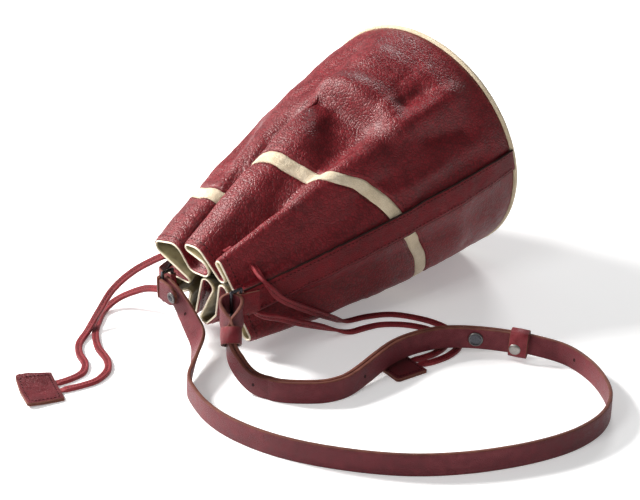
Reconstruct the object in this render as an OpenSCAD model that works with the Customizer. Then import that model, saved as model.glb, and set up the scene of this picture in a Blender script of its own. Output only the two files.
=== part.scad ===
// Leather drawstring bucket bag, lying on its side with its mouth drawn closed.
// +Z is up, the floor is z = 0. The mouth points towards -Y and the round base towards +Y.
// Right is +X and left is -X. The front of the body faces up, the back lies on the floor.
// The origin is on the floor, straight below the centre of the round base.

/* [Body] */
// Radius of the round base, out to the piping
base_r = 110; // [106:1:114]
// Length of the gathered body along its axis
body_l = 274; // [266:1:282]
// Tilt of the axis, which lifts the base above the mouth
tilt = 11.73; // [10:0.1:13]
// How quickly the body fills out behind the gathered mouth
fullness = 1.3; // [1.2:0.05:1.4]
// Distance from the mouth to the near edge of the stripe, on the top of the body
stripe_at = 90; // [86:1:94]
// Width of the cream stripe
stripe_w = 12; // [10:0.5:14]
// Thickness of the outer leather
leather_t = 1.2; // [1:0.1:1.3]

/* [Strap] */
// Width of the shoulder strap
strap_w = 18; // [17:0.5:19]
// Thickness of one strap layer
strap_t = 3; // [2.6:0.1:3.2]
// Gap between the two layers of the doubled part
layer_gap = 0.5; // [0.4:0.1:0.7]

/* [Hardware] */
// Radius of the ring wire
ring_wire_r = 1.4; // [1.2:0.1:1.5]
// Radius of the snap caps
snap_r = 6; // [5.5:0.1:6.5]
// Radius of the keeper's rivet cap
rivet_r = 5; // [4.5:0.1:5.5]

/* [Drawstrings] */
// Width of the folded drawstring
lace_w = 6; // [5.5:0.1:6.5]
// Thickness of the folded drawstring
lace_t = 3; // [2.6:0.1:3.1]
// Width of the pull tab
tab_w = 39; // [36:1:40]
// Length of the pull tab
tab_l = 29; // [27:1:31]

/* [Hidden] */

burgundy = [0.42, 0.06, 0.09];
dark_burgundy = [0.34, 0.07, 0.09];
cream = [0.86, 0.80, 0.68];
khaki = [0.50, 0.44, 0.30];
board_brown = [0.45, 0.38, 0.28];
gunmetal = [0.18, 0.18, 0.20];
nickel = [0.62, 0.60, 0.56];

function unit(v) = v / norm(v);
// two triangles over the corners a, b, c, d, split along b-c
function quad(a, b, c, d) = [[a, b, c], [c, b, d]];

// ---- frame of the body: across, up and along the axis from the mouth to the base
axis_dir = [0, cos(tilt), sin(tilt)];
up_dir = [0, -sin(tilt), cos(tilt)];
piping_r = 2.35;
piping_depth = 1.6; // from the outer face of the base in to the centre of the piping
// the piping rests on the floor
base_c = [0, 0, (base_r - piping_r) * cos(tilt) + piping_r + piping_depth * sin(tilt)];
mouth_c = base_c - axis_dir * body_l;
mid_r = base_r - 3; // middle surface of the wall at the base
function body_point(across, high, dist) =
  mouth_c + [across, 0, 0] + up_dir * high + axis_dir * dist;

// ---- the folds of the gathered mouth, as rolls the leather passes round in turn
// [across, up, radius, side, angle where the fold ends on the base]
// side is -1 for an outward fold and 1 for an inward one; the angle runs from the top to the right
folds = [
  [-46, 21.5, 6.5, -1, -60], [-30, 20, 11.5, -1, -42], [-8, 18.6, 7.6, 1, -27],
  [2.3, 18.9, 7.6, 1, -18], [-9.3, 34, 3.4, -1, -8], [-1.5, 26.2, 12, -1, 3],
  [25, 17, 3.6, 1, 22], [25.8, 30.4, 3.2, -1, 40], [39, 12.4, 2.2, 1, 64],
  [45.6, 8.2, 3.8, -1, 80.3], [45.6, -6, 3.8, -1, 89.7], [40.4, -13, 2, 1, 106],
  [41.4, -33.5, 4.8, -1, 128], [24, 3.8, 4.4, 1, 152], [-1, -22, 10, -1, 165],
  [-9.3, -37, 4.6, -1, 180], [4.6, 1.4, 6, 1, 205], [-22.2, -32, 5.2, -1, 228],
  [-16.6, -10.8, 1.8, 1, 244], [-42, -19, 4, -1, 260.3], [-43.5, -7, 4, -1, 269.7],
  [-20.5, -1.5, 2.2, 1, 284]];
n_folds = len(folds);
function fold(i) = folds[(i + n_folds) % n_folds];
function fold_centre(i) = [fold(i)[0], fold(i)[1]];
function signed_r(i) = fold(i)[2] * fold(i)[3];
function fold_angle(i) = fold(i)[4];
// heading of the straight run from one roll to the next
function heading(i) = let (gap = fold_centre(i + 1) - fold_centre(i))
  atan2(gap[1], gap[0]) - asin((signed_r(i + 1) - signed_r(i)) / norm(gap));
function wrap(angle) = angle - 360 * floor(angle / 360);
// angle the leather turns through on a roll
function turn(i) = let (before = heading(i - 1), after = heading(i))
  fold(i)[3] > 0 ? wrap(after - before) : -wrap(before - after);
function on_fold(i, dir) = fold_centre(i) + signed_r(i) * [sin(dir), -cos(dir)];
// steps on a roll and on the straight run after it; both even, so each has a middle column
function run_len(i) = norm(on_fold(i + 1, heading(i)) - on_fold(i, heading(i)));
function arc_n(i) = 2 * max(1, round(abs(turn(i)) / 80));
function run_n(i) = 2 * max(1, ceil(run_len(i) / 20));
function arc_points(i) = [for (k = [0:arc_n(i)])
  on_fold(i, heading(i - 1) + turn(i) * k / arc_n(i))];
function run_points(i) = let (from = on_fold(i, heading(i)), to = on_fold(i + 1, heading(i)))
  [for (k = [1:1:run_n(i) - 1]) from + (to - from) * k / run_n(i)];
outline = [for (i = [0:n_folds - 1]) each concat(arc_points(i), run_points(i))];
n_cols = len(outline);
// columns where a fold starts, its middle, and the middle of the run after it
function fold_start(i) = i == 0 ? 0 : fold_start(i - 1) + arc_n(i - 1) + run_n(i - 1);
function fold_mid(i) = fold_start(i) + arc_n(i) / 2;
function run_mid(i) = fold_start(i) + arc_n(i) + run_n(i) / 2;

// distance along the outline of every column, and the base angle each column runs to
steps = [for (j = [0:n_cols - 1]) norm(outline[(j + 1) % n_cols] - outline[j])];
travel = [for (j = 0, s = 0; j < n_cols; s = s + steps[j], j = j + 1) s];
full_travel = travel[n_cols - 1] + steps[n_cols - 1];
angle_key = concat(
  [[travel[fold_mid(n_folds - 1)] - full_travel, fold_angle(n_folds - 1) - 360]],
  [for (i = [0:n_folds - 1]) [travel[fold_mid(i)], fold_angle(i)]],
  [[full_travel + travel[fold_mid(0)], fold_angle(0) + 360]]);
base_angle = [for (s = travel) lookup(s, angle_key)];

// ---- rings along the body, each with its own distance from the mouth at every column
edge_at = body_l - 4.1; // the wall ends short of the outer face of the base
seam_gap = 0.1;
mouth_rings = [0, 6, 17];
upper_fill = [0.25, 0.5, 0.75];        // shares of the way from the mouth rings to the stripe
lower_fill = [0.2, 0.43, 0.66, 0.85, 1]; // shares of the way from the stripe to the base
upper_end = len(mouth_rings) + len(upper_fill);
stripe_start = upper_end + 1;
stripe_end = stripe_start + 1;
lower_start = stripe_end + 1;
last_ring = lower_start + len(lower_fill);
// how far the oblique stripe lies from its place on the top of the body: [base angle, distance]
slant = [
  [-90, -24], [-48, -41], [-35, -38], [-18, -20], [-3, -1], [8, 2], [20, 9], [32, 11], [41, 13],
  [46, 20], [52, 30], [60, 37], [70, 42], [82, 46], [95, 57], [113, 69], [140, 74], [180, 64],
  [220, 34], [250, -4], [270, -24]];
function ring_distances(angle) = let (
    near = stripe_at + lookup(angle > 270 ? angle - 360 : angle, slant),
    far = near + stripe_w,
    mouth_end = mouth_rings[len(mouth_rings) - 1])
  concat(mouth_rings,
    [for (q = upper_fill) mouth_end + (near - mouth_end) * q],
    [near - seam_gap, near, far, far + seam_gap],
    [for (q = lower_fill) far + (edge_at - far) * q]);
col_distances = [for (angle = base_angle) ring_distances(angle)];

// middle surface: the outline shrinks towards the base as the circle of the base grows
function skin(i, j) = let (
    dist = col_distances[j][i],
    gather = 1 - dist / body_l,
    round_r = mid_r * (1 - pow(gather, fullness)),
    p = outline[j] * gather + round_r * [sin(base_angle[j]), cos(base_angle[j])])
  body_point(p[0], p[1], dist);
grid = [for (i = [0:last_ring]) [for (j = [0:n_cols - 1]) skin(i, j)]];
function skin_normal(i, j) = let (
    k = min(max(i, 1), last_ring - 1),
    next = (j + 1) % n_cols,
    prev = (j + n_cols - 1) % n_cols)
  unit(cross(grid[i][next] - grid[i][prev], grid[k + 1][j] - grid[k - 1][j]));
normals = [for (i = [0:last_ring]) [for (j = [0:n_cols - 1]) skin_normal(i, j)]];
// a point of the wall, set off outwards from the middle surface; the lower side lies on the floor
function wall(i, j, off) = let (
    col = (j + n_cols) % n_cols,
    p = grid[i][col] + normals[i][col] * off)
  [p[0], p[1], max(p[2], leather_t - off)];

// a solid between two grids of points; closed joins the last column to the first
module shell(outer, inner, closed = false) {
  rows = len(outer);
  cols = len(outer[0]);
  n = rows * cols;
  top = rows - 1;
  row_steps = [0:rows - 2];
  col_steps = [0:cols - (closed ? 1 : 2)];
  last = cols - 1;
  function id(i, j) = i * cols + j % cols;
  faces = concat(
    [for (i = row_steps) for (j = col_steps)
      each quad(id(i, j), id(i + 1, j), id(i, j + 1), id(i + 1, j + 1))],
    [for (i = row_steps) for (j = col_steps)
      each quad(n + id(i, j), n + id(i, j + 1), n + id(i + 1, j), n + id(i + 1, j + 1))],
    [for (j = col_steps) each quad(id(0, j), id(0, j + 1), n + id(0, j), n + id(0, j + 1))],
    [for (j = col_steps)
      each quad(id(top, j), n + id(top, j), id(top, j + 1), n + id(top, j + 1))],
    closed ? [] : [for (i = row_steps)
      each quad(id(i, 0), n + id(i, 0), id(i + 1, 0), n + id(i + 1, 0))],
    closed ? [] : [for (i = row_steps)
      each quad(id(i, last), id(i + 1, last), n + id(i, last), n + id(i + 1, last))]);
  polyhedron(points = [for (row = concat(outer, inner)) each row], faces = faces, convexity = 12);
}

// a patch of the wall between two columns and two rings, with its side edges drawn in by inset
module patch(col_a, col_b, ring_a, ring_b, outer, inner, inset = 0) {
  function spot(i, j, off) = let (p = wall(i, j, off))
    inset == 0 || (j > col_a && j < col_b) ? p
    : p + unit(wall(i, j == col_a ? j + 1 : j - 1, off) - p) * inset;
  function layer(off) = [for (i = [ring_a:ring_b]) [for (j = [col_a:col_b]) spot(i, j, off)]];
  shell(layer(outer), layer(inner));
}

// the wall all the way round; lift carries its edge out past the mouth
module sleeve(rings, outer, inner, lift = 0) {
  function spot(i, j, off) = wall(i, j, off)
    + (i == 0 ? (wall(0, j, off) - wall(1, j, off)) * lift / mouth_rings[1] : [0, 0, 0]);
  function layer(off) = [for (i = rings) [for (j = [0:n_cols - 1]) spot(i, j, off)]];
  shell(layer(outer), layer(inner), closed = true);
}

// ---- body panels, which meet at the side seams
seam_right = run_mid(9);
seam_left = run_mid(19);
module front_part(ring_a, ring_b)
  patch(seam_left - n_cols, seam_right, ring_a, ring_b, leather_t, 0);
// the back stops a hair short of the front at both seams
module back_part(ring_a, ring_b)
  patch(seam_right, seam_left, ring_a, ring_b, leather_t, 0, seam_gap);

module front_upper_panel() color(burgundy) front_part(0, upper_end);
module back_upper_panel() color(burgundy) back_part(0, upper_end);
module front_stripe() color(cream) front_part(stripe_start, stripe_end);
module back_stripe() color(cream) back_part(stripe_start, stripe_end);
module front_lower_panel() color(burgundy) front_part(lower_start, last_ring);
module back_lower_panel() color(burgundy) back_part(lower_start, last_ring);
// the lining needs only the stripe's own rings, not those across the seam gaps
module lining() color(khaki)
  sleeve([for (i = [0:last_ring]) if (i != upper_end && i != lower_start) i], -0.86, -1.5);
module mouth_binding() color(cream) sleeve([0, 1], -0.12, -0.72, lift = 0.8);

// strips over the side seams, from the middle of the fold before the seam to the one after
strip_off = leather_t + 0.12;
strip_t = 1.6;
module side_strip(fold_i) color(dark_burgundy)
  patch(fold_mid(fold_i), fold_mid(fold_i + 1), 0, last_ring, strip_off + strip_t, strip_off);
module side_strip_right() side_strip(9);
module side_strip_left() side_strip(19);

// ---- round base: outer leather, stiff board, lining and the cream piping round the rim
base_gap = 0.1; // between the layers
base_panel_t = 1.4;
board_t = 2.1;
base_lining_t = 0.7;
board_r = mid_r - 3.4;
board_z = -base_panel_t - base_gap - board_t;
// frame of the base: origin on its outer face, Z outwards
module on_base() translate(base_c) rotate([tilt - 90, 0, 0]) children();
module base_disc(radius, bottom, height)
  on_base() translate([0, 0, bottom]) cylinder(r = radius, h = height, $fn = 96);
module base_panel() color(burgundy) base_disc(mid_r - 2.2, -base_panel_t, base_panel_t);
module base_board() color(board_brown) base_disc(board_r, board_z, board_t);
module base_lining() color(khaki)
  base_disc(board_r, board_z - base_gap - base_lining_t, base_lining_t);
module base_piping() color(cream) on_base() translate([0, 0, -piping_depth])
  rotate_extrude($fn = 96) translate([base_r - piping_r, 0]) circle(r = piping_r, $fn = 24);

// ---- rings: the bar in the folded strip end, and the pin, the bar the strap turns on
right_bar = [51, -275.2, 57];
left_bar = [-34, -272.5, 45];
ring_arm = [0, -10.5, 0]; // from the bar to the pin
ring_h = 25;
right_pin = right_bar + ring_arm;
left_pin = left_bar + ring_arm;

// a wire ring with two upright bars joined at both ends
module wire_ring(bar) color(gunmetal) translate(bar + ring_arm / 2) {
  half_l = -ring_arm[1] / 2;
  half_h = ring_h / 2;
  for (s = [-1, 1]) translate([0, s * half_l, -half_h])
    cylinder(r = ring_wire_r, h = 2 * half_h, $fn = 24);
  for (s = [-1, 1]) translate([0, -half_l, s * half_h]) rotate([-90, 0, 0])
    cylinder(r = ring_wire_r, h = 2 * half_l, $fn = 24);
  for (s = [-1, 1]) for (q = [-1, 1]) translate([0, s * half_l, q * half_h])
    sphere(r = ring_wire_r, $fn = 24);
}
module ring_right() wire_ring(right_bar);
module ring_left() wire_ring(left_bar);

// ---- folded ends of the side strips: leather round the bar, and a leg back to the strip
right_leg_turn = -19;
// outlines of the legs from above, [x, y] from the bar
right_leg = [[2, -0.6], [3.15, -0.6], [3.3, 15], [1.6, 15]];
// the left one reaches in front of the mouth
left_leg = [
  [-1.2, -3.05], [-10, -3.4], [-16.3, -0.8], [-19.2, 4.6], [-21.5, 12.3], [-23.6, 18.8],
  [-22, 19.3], [-19.8, 12.8], [-17.6, 5.3], [-15.1, 0.6], [-9.8, -1.7], [-2.2, -1.9]];
module chape(bar) color(dark_burgundy) translate([bar[0], bar[1], bar[2] - strap_w / 2])
  difference() {
    union() {
      cylinder(r = 3.3, h = strap_w, $fn = 32);
      children();
    }
    translate([0, 0, -1]) cylinder(r = ring_wire_r + 0.25, h = strap_w + 2, $fn = 32);
  }
module chape_right() chape(right_bar)
  rotate([0, 0, right_leg_turn]) linear_extrude(height = strap_w) polygon(right_leg);
module chape_left() chape(left_bar) linear_extrude(height = strap_w) polygon(left_leg);

// ---- ribbons: bars with eased edges, swept along a path of stations [x, y, z, lean]
// lean turns the width from upright, 90 lays it flat
function catmull(p0, p1, p2, p3, t) = 0.5 * (2 * p1 + (p2 - p0) * t
  + (2 * p0 - 5 * p1 + 4 * p2 - p3) * t * t + (3 * p1 - p0 - 3 * p2 + p3) * t * t * t);
// a curve through the stations, n steps between each two, kept above z_min
function smooth(stations, n, z_min = 0) = let (last = len(stations) - 1)
  [for (i = [0:last - 1]) for (k = [0:(i == last - 1 ? n : n - 1)])
    let (p = catmull(stations[max(i - 1, 0)], stations[i], stations[i + 1],
      stations[min(i + 2, last)], k / n))
    [p[0], p[1], max(z_min, p[2]), p[3]]];
// stations whose x and y are given from a ring's pin
function from_pin(pin, stations) =
  [for (s = stations) [pin[0] + s[0], pin[1] + s[1], s[2], s[3]]];
function xyz(p) = [p[0], p[1], p[2]];
function tangent(path, i) =
  unit(xyz(path[min(i + 1, len(path) - 1)]) - xyz(path[max(i - 1, 0)]));
function width_dir(path, i) = let (
    along = tangent(path, i),
    level = unit(cross(along, [0, 0, 1])),
    lean = path[i][3])
  cross(level, along) * cos(lean) + level * sin(lean);
function side_dir(path, i) = cross(tangent(path, i), width_dir(path, i));
// one station, or the whole path, moved sideways
function aside_station(path, i, d) = concat(xyz(path[i]) + side_dir(path, i) * d, [path[i][3]]);
function aside(path, d) = [for (i = [0:len(path) - 1]) aside_station(path, i, d)];
// the same path, run the other way
function reversed(path) = [for (i = [len(path) - 1:-1:0]) concat(xyz(path[i]), [-path[i][3]])];

module ribbon(path, w, t) {
  x = w / 2;
  y = t / 2;
  ease = min(w, t) * 0.22;
  profile = [
    [-x + ease, -y], [x - ease, -y], [x, -y + ease], [x, y - ease],
    [x - ease, y], [-x + ease, y], [-x, y - ease], [-x, -y + ease]];
  m = len(profile);
  n = len(path);
  points = [for (i = [0:n - 1]) for (p = profile)
    xyz(path[i]) + width_dir(path, i) * p[0] + side_dir(path, i) * p[1]];
  faces = concat(
    [[for (k = [0:m - 1]) k]],
    [[for (k = [m - 1:-1:0]) (n - 1) * m + k]],
    [for (i = [0:n - 2]) for (k = [0:m - 1])
      let (a = i * m + k, b = i * m + (k + 1) % m) each quad(a, a + m, b, b + m)]);
  polyhedron(points = points, faces = faces, convexity = 8);
}

// places children in a frame given by its three axes and its origin
module in_frame(x, y, z, p)
  multmatrix([[x[0], y[0], z[0], p[0]], [x[1], y[1], z[1], p[1]],
    [x[2], y[2], z[2], p[2]], [0, 0, 0, 1]]) children();
// at a station: X along the width, Y across the thickness, Z along the path
module at_station(path, i)
  in_frame(width_dir(path, i), -side_dir(path, i), tangent(path, i), path[i]) children();

// ---- shoulder strap
pair_t = 2 * strap_t + layer_gap;
half_pair = (strap_t + layer_gap) / 2;
edge_z = strap_w / 2 + 0.15; // centre height of the strap standing on its edge
// from each pin to the hinge line between its link and the loop
link = [52, -9, 0];
hinge_gap = 1.8; // on either side of the hinge line

// the doubled link from the right ring, which drops to the floor and stands on its edge
right_link = smooth(from_pin(right_pin, [
  [11, -11, 48, 0], [16, -16, 38.5, 0], [21, -18.4, 27.5, -4], [28, -17, 17.5, -8],
  [36.5, -14.4, 11.2, -6], [43, -12.8, edge_z, 0],
  [link[0] - hinge_gap, link[1], edge_z, 0]]), 3, edge_z);

// the teardrop round the right pin, from the doubled link's start and back to it
tear_steps = 14;
tear_bulge = 8.5;
tear_from = xyz(right_link[0]);
tear_dir = unit(right_pin - tear_from);
tear_len = norm(right_pin - tear_from) + ring_wire_r + 1 + strap_t / 2;
tear_side = unit(cross(tear_dir, [0, 0, 1]));
teardrop = [for (k = [1:tear_steps - 1]) let (
    angle = 360 * k / tear_steps,
    reach = (1 - cos(angle)) / 2,
    sideways = half_pair * cos(angle / 2) + tear_bulge * sin(angle) * sqrt(reach))
  concat(tear_from + tear_dir * tear_len * reach + tear_side * sideways, [0])];
strap_right_path =
  concat(reversed(aside(right_link, -half_pair)), teardrop, aside(right_link, half_pair));

// the loop on the floor, from the right hinge line to the left one
// it is raised where it crosses the drawstring
loop_path = smooth([
  [right_pin[0] + link[0] + hinge_gap, right_pin[1] + link[1], edge_z, 0],
  [114, -290, edge_z, 0], [125, -281, edge_z, 0], [136, -269, edge_z, 0],
  [141.5, -254, edge_z, 0], [142.5, -237, edge_z + 2, 0], [141, -214, edge_z + 5.2, 0],
  [139, -191, edge_z + 6, 0], [143, -168, edge_z + 6, 0], [153, -147, edge_z + 6, 0],
  [172, -130, edge_z + 6, 0], [196, -116.5, edge_z + 6, 0], [216, -107, edge_z + 4.5, 0],
  [237, -99, edge_z + 2, 0], [259, -102, edge_z, 0], [282, -115, edge_z, 0],
  [302, -134, edge_z, 0], [313, -160, edge_z, 0], [313, -190, edge_z, 0],
  [305, -218, edge_z, 0], [292, -245, edge_z, 0], [273, -274, edge_z, 0],
  [248, -301, edge_z, 0], [217, -323, edge_z, 0], [182, -341, edge_z, 0],
  [149, -351, edge_z, 0], [117, -354, edge_z, 0], [91, -350.5, edge_z, 0],
  [70, -343, edge_z, 0], [56, -336, edge_z, 2], [46.5, -327, edge_z + 0.6, 6],
  [38.8, -316.5, 12, 14], [28, -303, 15.2, 27],
  [left_pin[0] + link[0] + hinge_gap, left_pin[1] + link[1] - 1.6, 18.2, 36]], 3, edge_z);
n_loop = len(loop_path) - 1;
// stations along the loop
snap_at = 30;
keeper_at = 34;
tail_end = 36; // where the folded-back layer ends
merge_n = 30;  // last stations, over which the main layer moves to the middle
main_path = [for (i = [0:n_loop])
  aside_station(loop_path, i, -half_pair * min(1, (n_loop - i) / merge_n))];
tail_path = [for (i = [0:tail_end]) aside_station(loop_path, i, half_pair)];

// the single link that rises to the left ring and turns round its pin
left_z = left_pin[2];
left_link = smooth(from_pin(left_pin, [
  [link[0] - hinge_gap, link[1] + 1.6, 19.4, 36], [41, -5.4, 26, 30], [30, -2.2, 33, 20],
  [18, 0.4, left_z - 5, 8], [8, 2, left_z - 0.8, 0], [0.5, 3.4, left_z, 0],
  [-2.6, 2.3, left_z, 0], [-3.5, 0, left_z, 0], [-2.6, -2.4, left_z, 0],
  [-0.6, -3.5, left_z, 0]]), 3);
// the flap goes on from there, towards the right
flap_path = from_pin(left_pin, [for (k = [0:4])
  [1.6 + 5.2 * k, -3.6 - 0.8 * k + 0.05 * k * k, left_z - 0.3 * k, 0.6 * k]]);

module strap_piece(path) color(dark_burgundy) ribbon(path, strap_w, strap_t);
module strap_right_end() strap_piece(strap_right_path);
module strap_loop_main() strap_piece(main_path);
module strap_loop_tail() strap_piece(tail_path);
module strap_left_end() strap_piece(left_link);
module strap_left_flap() strap_piece(flap_path);

// ---- keepers: leather bands round the doubled strap
module band(inner_w, inner_t, length, thick) difference() {
  cube([inner_w + 2 * thick, inner_t + 2 * thick, length], center = true);
  cube([inner_w, inner_t, length + 2], center = true);
}
module strap_small_keeper() color(burgundy)
  at_station(right_link, 3) band(strap_w + 2.8, pair_t + 4.4, 11, 1.3);

keeper_t = 1.8;
keeper_slack = 1.2; // between the strap and the band, on each face
// frame on the rivet's line, Z outwards, at a distance from the middle of the strap
module on_rivet(dist) translate([-3, -dist, -1]) rotate([90, 0, 0]) children();
module strap_riveted_keeper() color(burgundy) at_station(loop_path, keeper_at) difference() {
  band(strap_w + 1.6, pair_t + 2 * keeper_slack, 15, keeper_t);
  on_rivet(pair_t / 2 + keeper_slack - 0.1) cylinder(r = 1.6, h = 4, $fn = 24);
}
module keeper_rivet() color(nickel) at_station(loop_path, keeper_at)
  on_rivet(pair_t / 2 + keeper_slack + keeper_t + 0.05) {
    cylinder(r = rivet_r, h = 1.2, $fn = 48);
    translate([0, 0, -1.9]) cylinder(r = 1.5, h = 2, $fn = 24);
  }

// ---- snaps on the doubled strap and on the flap
flap_snap_at = 3;    // station along the flap
flap_snap_z = -0.5;  // along the flap from that station
module snap_cap(radius, place) translate(place) rotate([90, 0, 0])
  cylinder(r1 = radius, r2 = radius - 0.8, h = 1.3, $fn = 48);
module strap_snap_cap() color(gunmetal)
  at_station(loop_path, snap_at) snap_cap(snap_r, [0, -pair_t / 2 - 0.55, 0]);
module strap_snap_stud() color(gunmetal) at_station(loop_path, snap_at)
  translate([0, pair_t / 2 + 0.1, 0]) rotate([-90, 0, 0])
    cylinder(r = snap_r - 1.5, h = 1.2, $fn = 48);
module flap_snap_cap() color(gunmetal) at_station(flap_path, flap_snap_at)
  snap_cap(snap_r - 0.6, [0, -strap_t / 2 - 0.1, flap_snap_z]);
module flap_snap_stud() color(gunmetal) at_station(flap_path, flap_snap_at)
  translate([0, strap_t / 2 + 0.1, flap_snap_z]) rotate([-90, 0, 0])
    cylinder(r = 2, h = 0.5, $fn = 32);

// ---- drawstrings: two strands of folded lace on each side, from beside a side strip to a tab
lace_z = lace_t / 2 + 0.2; // centre height of a strand flat on the floor
right_upper = [
  [46, -256, 78.5, 70], [56, -258, 75, 60], [63.5, -255, 67, 40], [66, -247, 56.5, 20],
  [67, -232, 45, 15], [66, -206, 28, 20], [64, -185, 14.5, 50], [61, -166, lace_z + 1.4, 80],
  [67, -145, lace_z, 90], [80, -127, lace_z, 90], [104, -116, lace_z, 90],
  [126, -114, lace_z, 90], [145, -120, lace_z, 90], [157, -133, lace_z, 90],
  [160.5, -150, lace_z, 90], [158, -166, lace_z, 90], [154.3, -174.8, lace_z, 90]];
right_lower = [
  [57, -263.5, 43.5, 20], [60.8, -257, 42, 20], [64.2, -245, 37, 20], [67, -226, 26.5, 20],
  [69, -206, 16.5, 35], [71.5, -190, 8, 70], [76, -174, lace_z, 90], [84, -150, lace_z, 90],
  [100, -134, lace_z, 90], [120, -126.5, lace_z, 90], [137, -129, lace_z, 90],
  [147.5, -139, lace_z, 90], [150, -154, lace_z, 90], [148, -166, lace_z, 90],
  [145.5, -173, lace_z, 90]];
left_upper = [
  [-44, -253, 62, 40], [-56, -262, 59, 40], [-78, -276, 43, 40], [-89, -292, 27, 60],
  [-87, -310, 13, 80], [-81, -327, 4, 90], [-72, -343, lace_z, 90], [-58, -354, lace_z, 90],
  [-42, -361, lace_z, 90], [-32, -371, lace_z, 90], [-30.5, -383, lace_z, 90],
  [-32.5, -394.2, lace_z, 90]];
left_lower = [
  [-51, -258.5, 25, 30], [-62, -260.5, 25, 40], [-82, -265, 20, 50], [-101, -276, 9, 70],
  [-102, -292, 3, 90], [-90, -309, lace_z, 90], [-75, -324, lace_z, 90],
  [-55, -337, lace_z, 90], [-34, -345, lace_z, 90], [-20, -356, lace_z, 90],
  [-14, -371, lace_z, 90], [-16, -384, lace_z, 90], [-20.5, -397.2, lace_z, 90]];
module strand(stations) ribbon(smooth(stations, 2, lace_z), lace_w, lace_t);
module lace_right() color(burgundy) {
  strand(right_upper);
  strand(right_lower);
}
module lace_left() color(burgundy) {
  strand(left_upper);
  strand(left_lower);
}

// a short crossing of the drawstring over inward folds, between the middles of two runs
module crossing(run_a, run_b) {
  ring = 2;
  from = wall(ring, run_mid(run_a), leather_t + lace_t / 2);
  to = wall(ring, run_mid(run_b), leather_t + lace_t / 2);
  along = unit(to - from);
  across = unit(cross(along, axis_dir));
  in_frame(along, across, cross(across, along), (from + to) / 2)
    cube([max(2, norm(to - from) - 3.4), lace_t * 0.8, lace_w], center = true);
}
module gather_lace_right() color(burgundy) for (i = [6, 13]) crossing(i - 1, i);
module gather_lace_left() color(burgundy) {
  crossing(1, 3);
  crossing(15, 16);
}

// ---- pull tabs: two leathers at the lace ends, placed by the edge the laces meet
tab_layer_t = 1.5;
tab_back_z = 0.1;
tab_front_z = tab_back_z + tab_layer_t + 0.05; // the front leather lies on the back one
tab_corner = 2;
module tab(place, angle, bottom) color(burgundy)
  translate(place) rotate([0, 0, angle]) translate([0, 0, bottom])
    linear_extrude(height = tab_layer_t) polygon([
      [-tab_w / 2, 2], [tab_w / 2, 2], [tab_w / 2, tab_l],
      [tab_w / 2 - tab_corner, tab_l + tab_corner],
      [-tab_w / 2 + tab_corner, tab_l + tab_corner], [-tab_w / 2, tab_l]]);
module tab_right(bottom) tab([146, -175, 0], 167, bottom);
module tab_left(bottom) tab([-26, -397.3, 0], 165, bottom);
module tab_right_front() tab_right(tab_front_z);
module tab_right_back() tab_right(tab_back_z);
module tab_left_front() tab_left(tab_front_z);
module tab_left_back() tab_left(tab_back_z);

front_upper_panel();
back_upper_panel();
front_stripe();
back_stripe();
front_lower_panel();
back_lower_panel();
lining();
mouth_binding();
base_panel();
base_board();
base_lining();
base_piping();
side_strip_right();
side_strip_left();
chape_right();
chape_left();
ring_right();
ring_left();
strap_right_end();
strap_loop_main();
strap_loop_tail();
strap_left_end();
strap_left_flap();
strap_small_keeper();
strap_riveted_keeper();
keeper_rivet();
strap_snap_cap();
strap_snap_stud();
flap_snap_cap();
flap_snap_stud();
lace_right();
lace_left();
gather_lace_right();
gather_lace_left();
tab_right_front();
tab_right_back();
tab_left_front();
tab_left_back();
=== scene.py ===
"""A gathered leather bucket bag lying on its side, with a strap, two laces and two pull tabs.

The floor is z = 0. The round base stands at the +y end and the mouth opens towards -y; the bag's
axis rises by TILT from mouth to base. +x is the right side. Lengths are in millimetres and
angles in degrees until the meshes are made, except where noted.
"""
import math
import bpy
import numpy as np
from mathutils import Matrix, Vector, noise


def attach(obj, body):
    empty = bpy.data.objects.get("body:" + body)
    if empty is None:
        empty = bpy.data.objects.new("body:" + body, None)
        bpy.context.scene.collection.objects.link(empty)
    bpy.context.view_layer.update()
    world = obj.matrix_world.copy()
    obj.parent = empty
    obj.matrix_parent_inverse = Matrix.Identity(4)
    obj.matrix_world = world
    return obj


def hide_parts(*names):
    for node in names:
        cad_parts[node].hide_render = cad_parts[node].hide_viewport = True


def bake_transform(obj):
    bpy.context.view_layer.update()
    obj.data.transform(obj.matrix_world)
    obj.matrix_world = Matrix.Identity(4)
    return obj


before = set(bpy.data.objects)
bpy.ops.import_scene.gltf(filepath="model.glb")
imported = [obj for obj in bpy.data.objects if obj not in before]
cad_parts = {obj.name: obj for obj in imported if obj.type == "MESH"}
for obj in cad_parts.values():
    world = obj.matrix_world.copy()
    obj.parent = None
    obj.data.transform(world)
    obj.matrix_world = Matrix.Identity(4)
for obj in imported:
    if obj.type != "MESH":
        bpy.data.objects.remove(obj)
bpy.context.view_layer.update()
MM = 0.001

# ------------------------------------------------------------------ body sizes
BASE_R, BODY_L = 110.0, 274.0
TILT = math.radians(11.73)
FULLNESS = 1.3          # how fast the gathered form swells into the round one
LEATHER = 1.2           # wall thickness
PIPE_R = 2.35
PIPE_SHIFT = 1.6        # piping centre, from the base plane towards the mouth
WALL_R = BASE_R - 3
LAST_ROW = BODY_L - 3.5

RIGHT = np.array([1.0, 0, 0])
UP = np.array([0, -math.sin(TILT), math.cos(TILT)])
AXIS = np.array([0, math.cos(TILT), math.sin(TILT)])    # from mouth to base
BASE_C = np.array([0, 0, (BASE_R - PIPE_R) * math.cos(TILT) + PIPE_R
                   + PIPE_SHIFT * math.sin(TILT)])
MOUTH_C = BASE_C - AXIS * BODY_L

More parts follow.
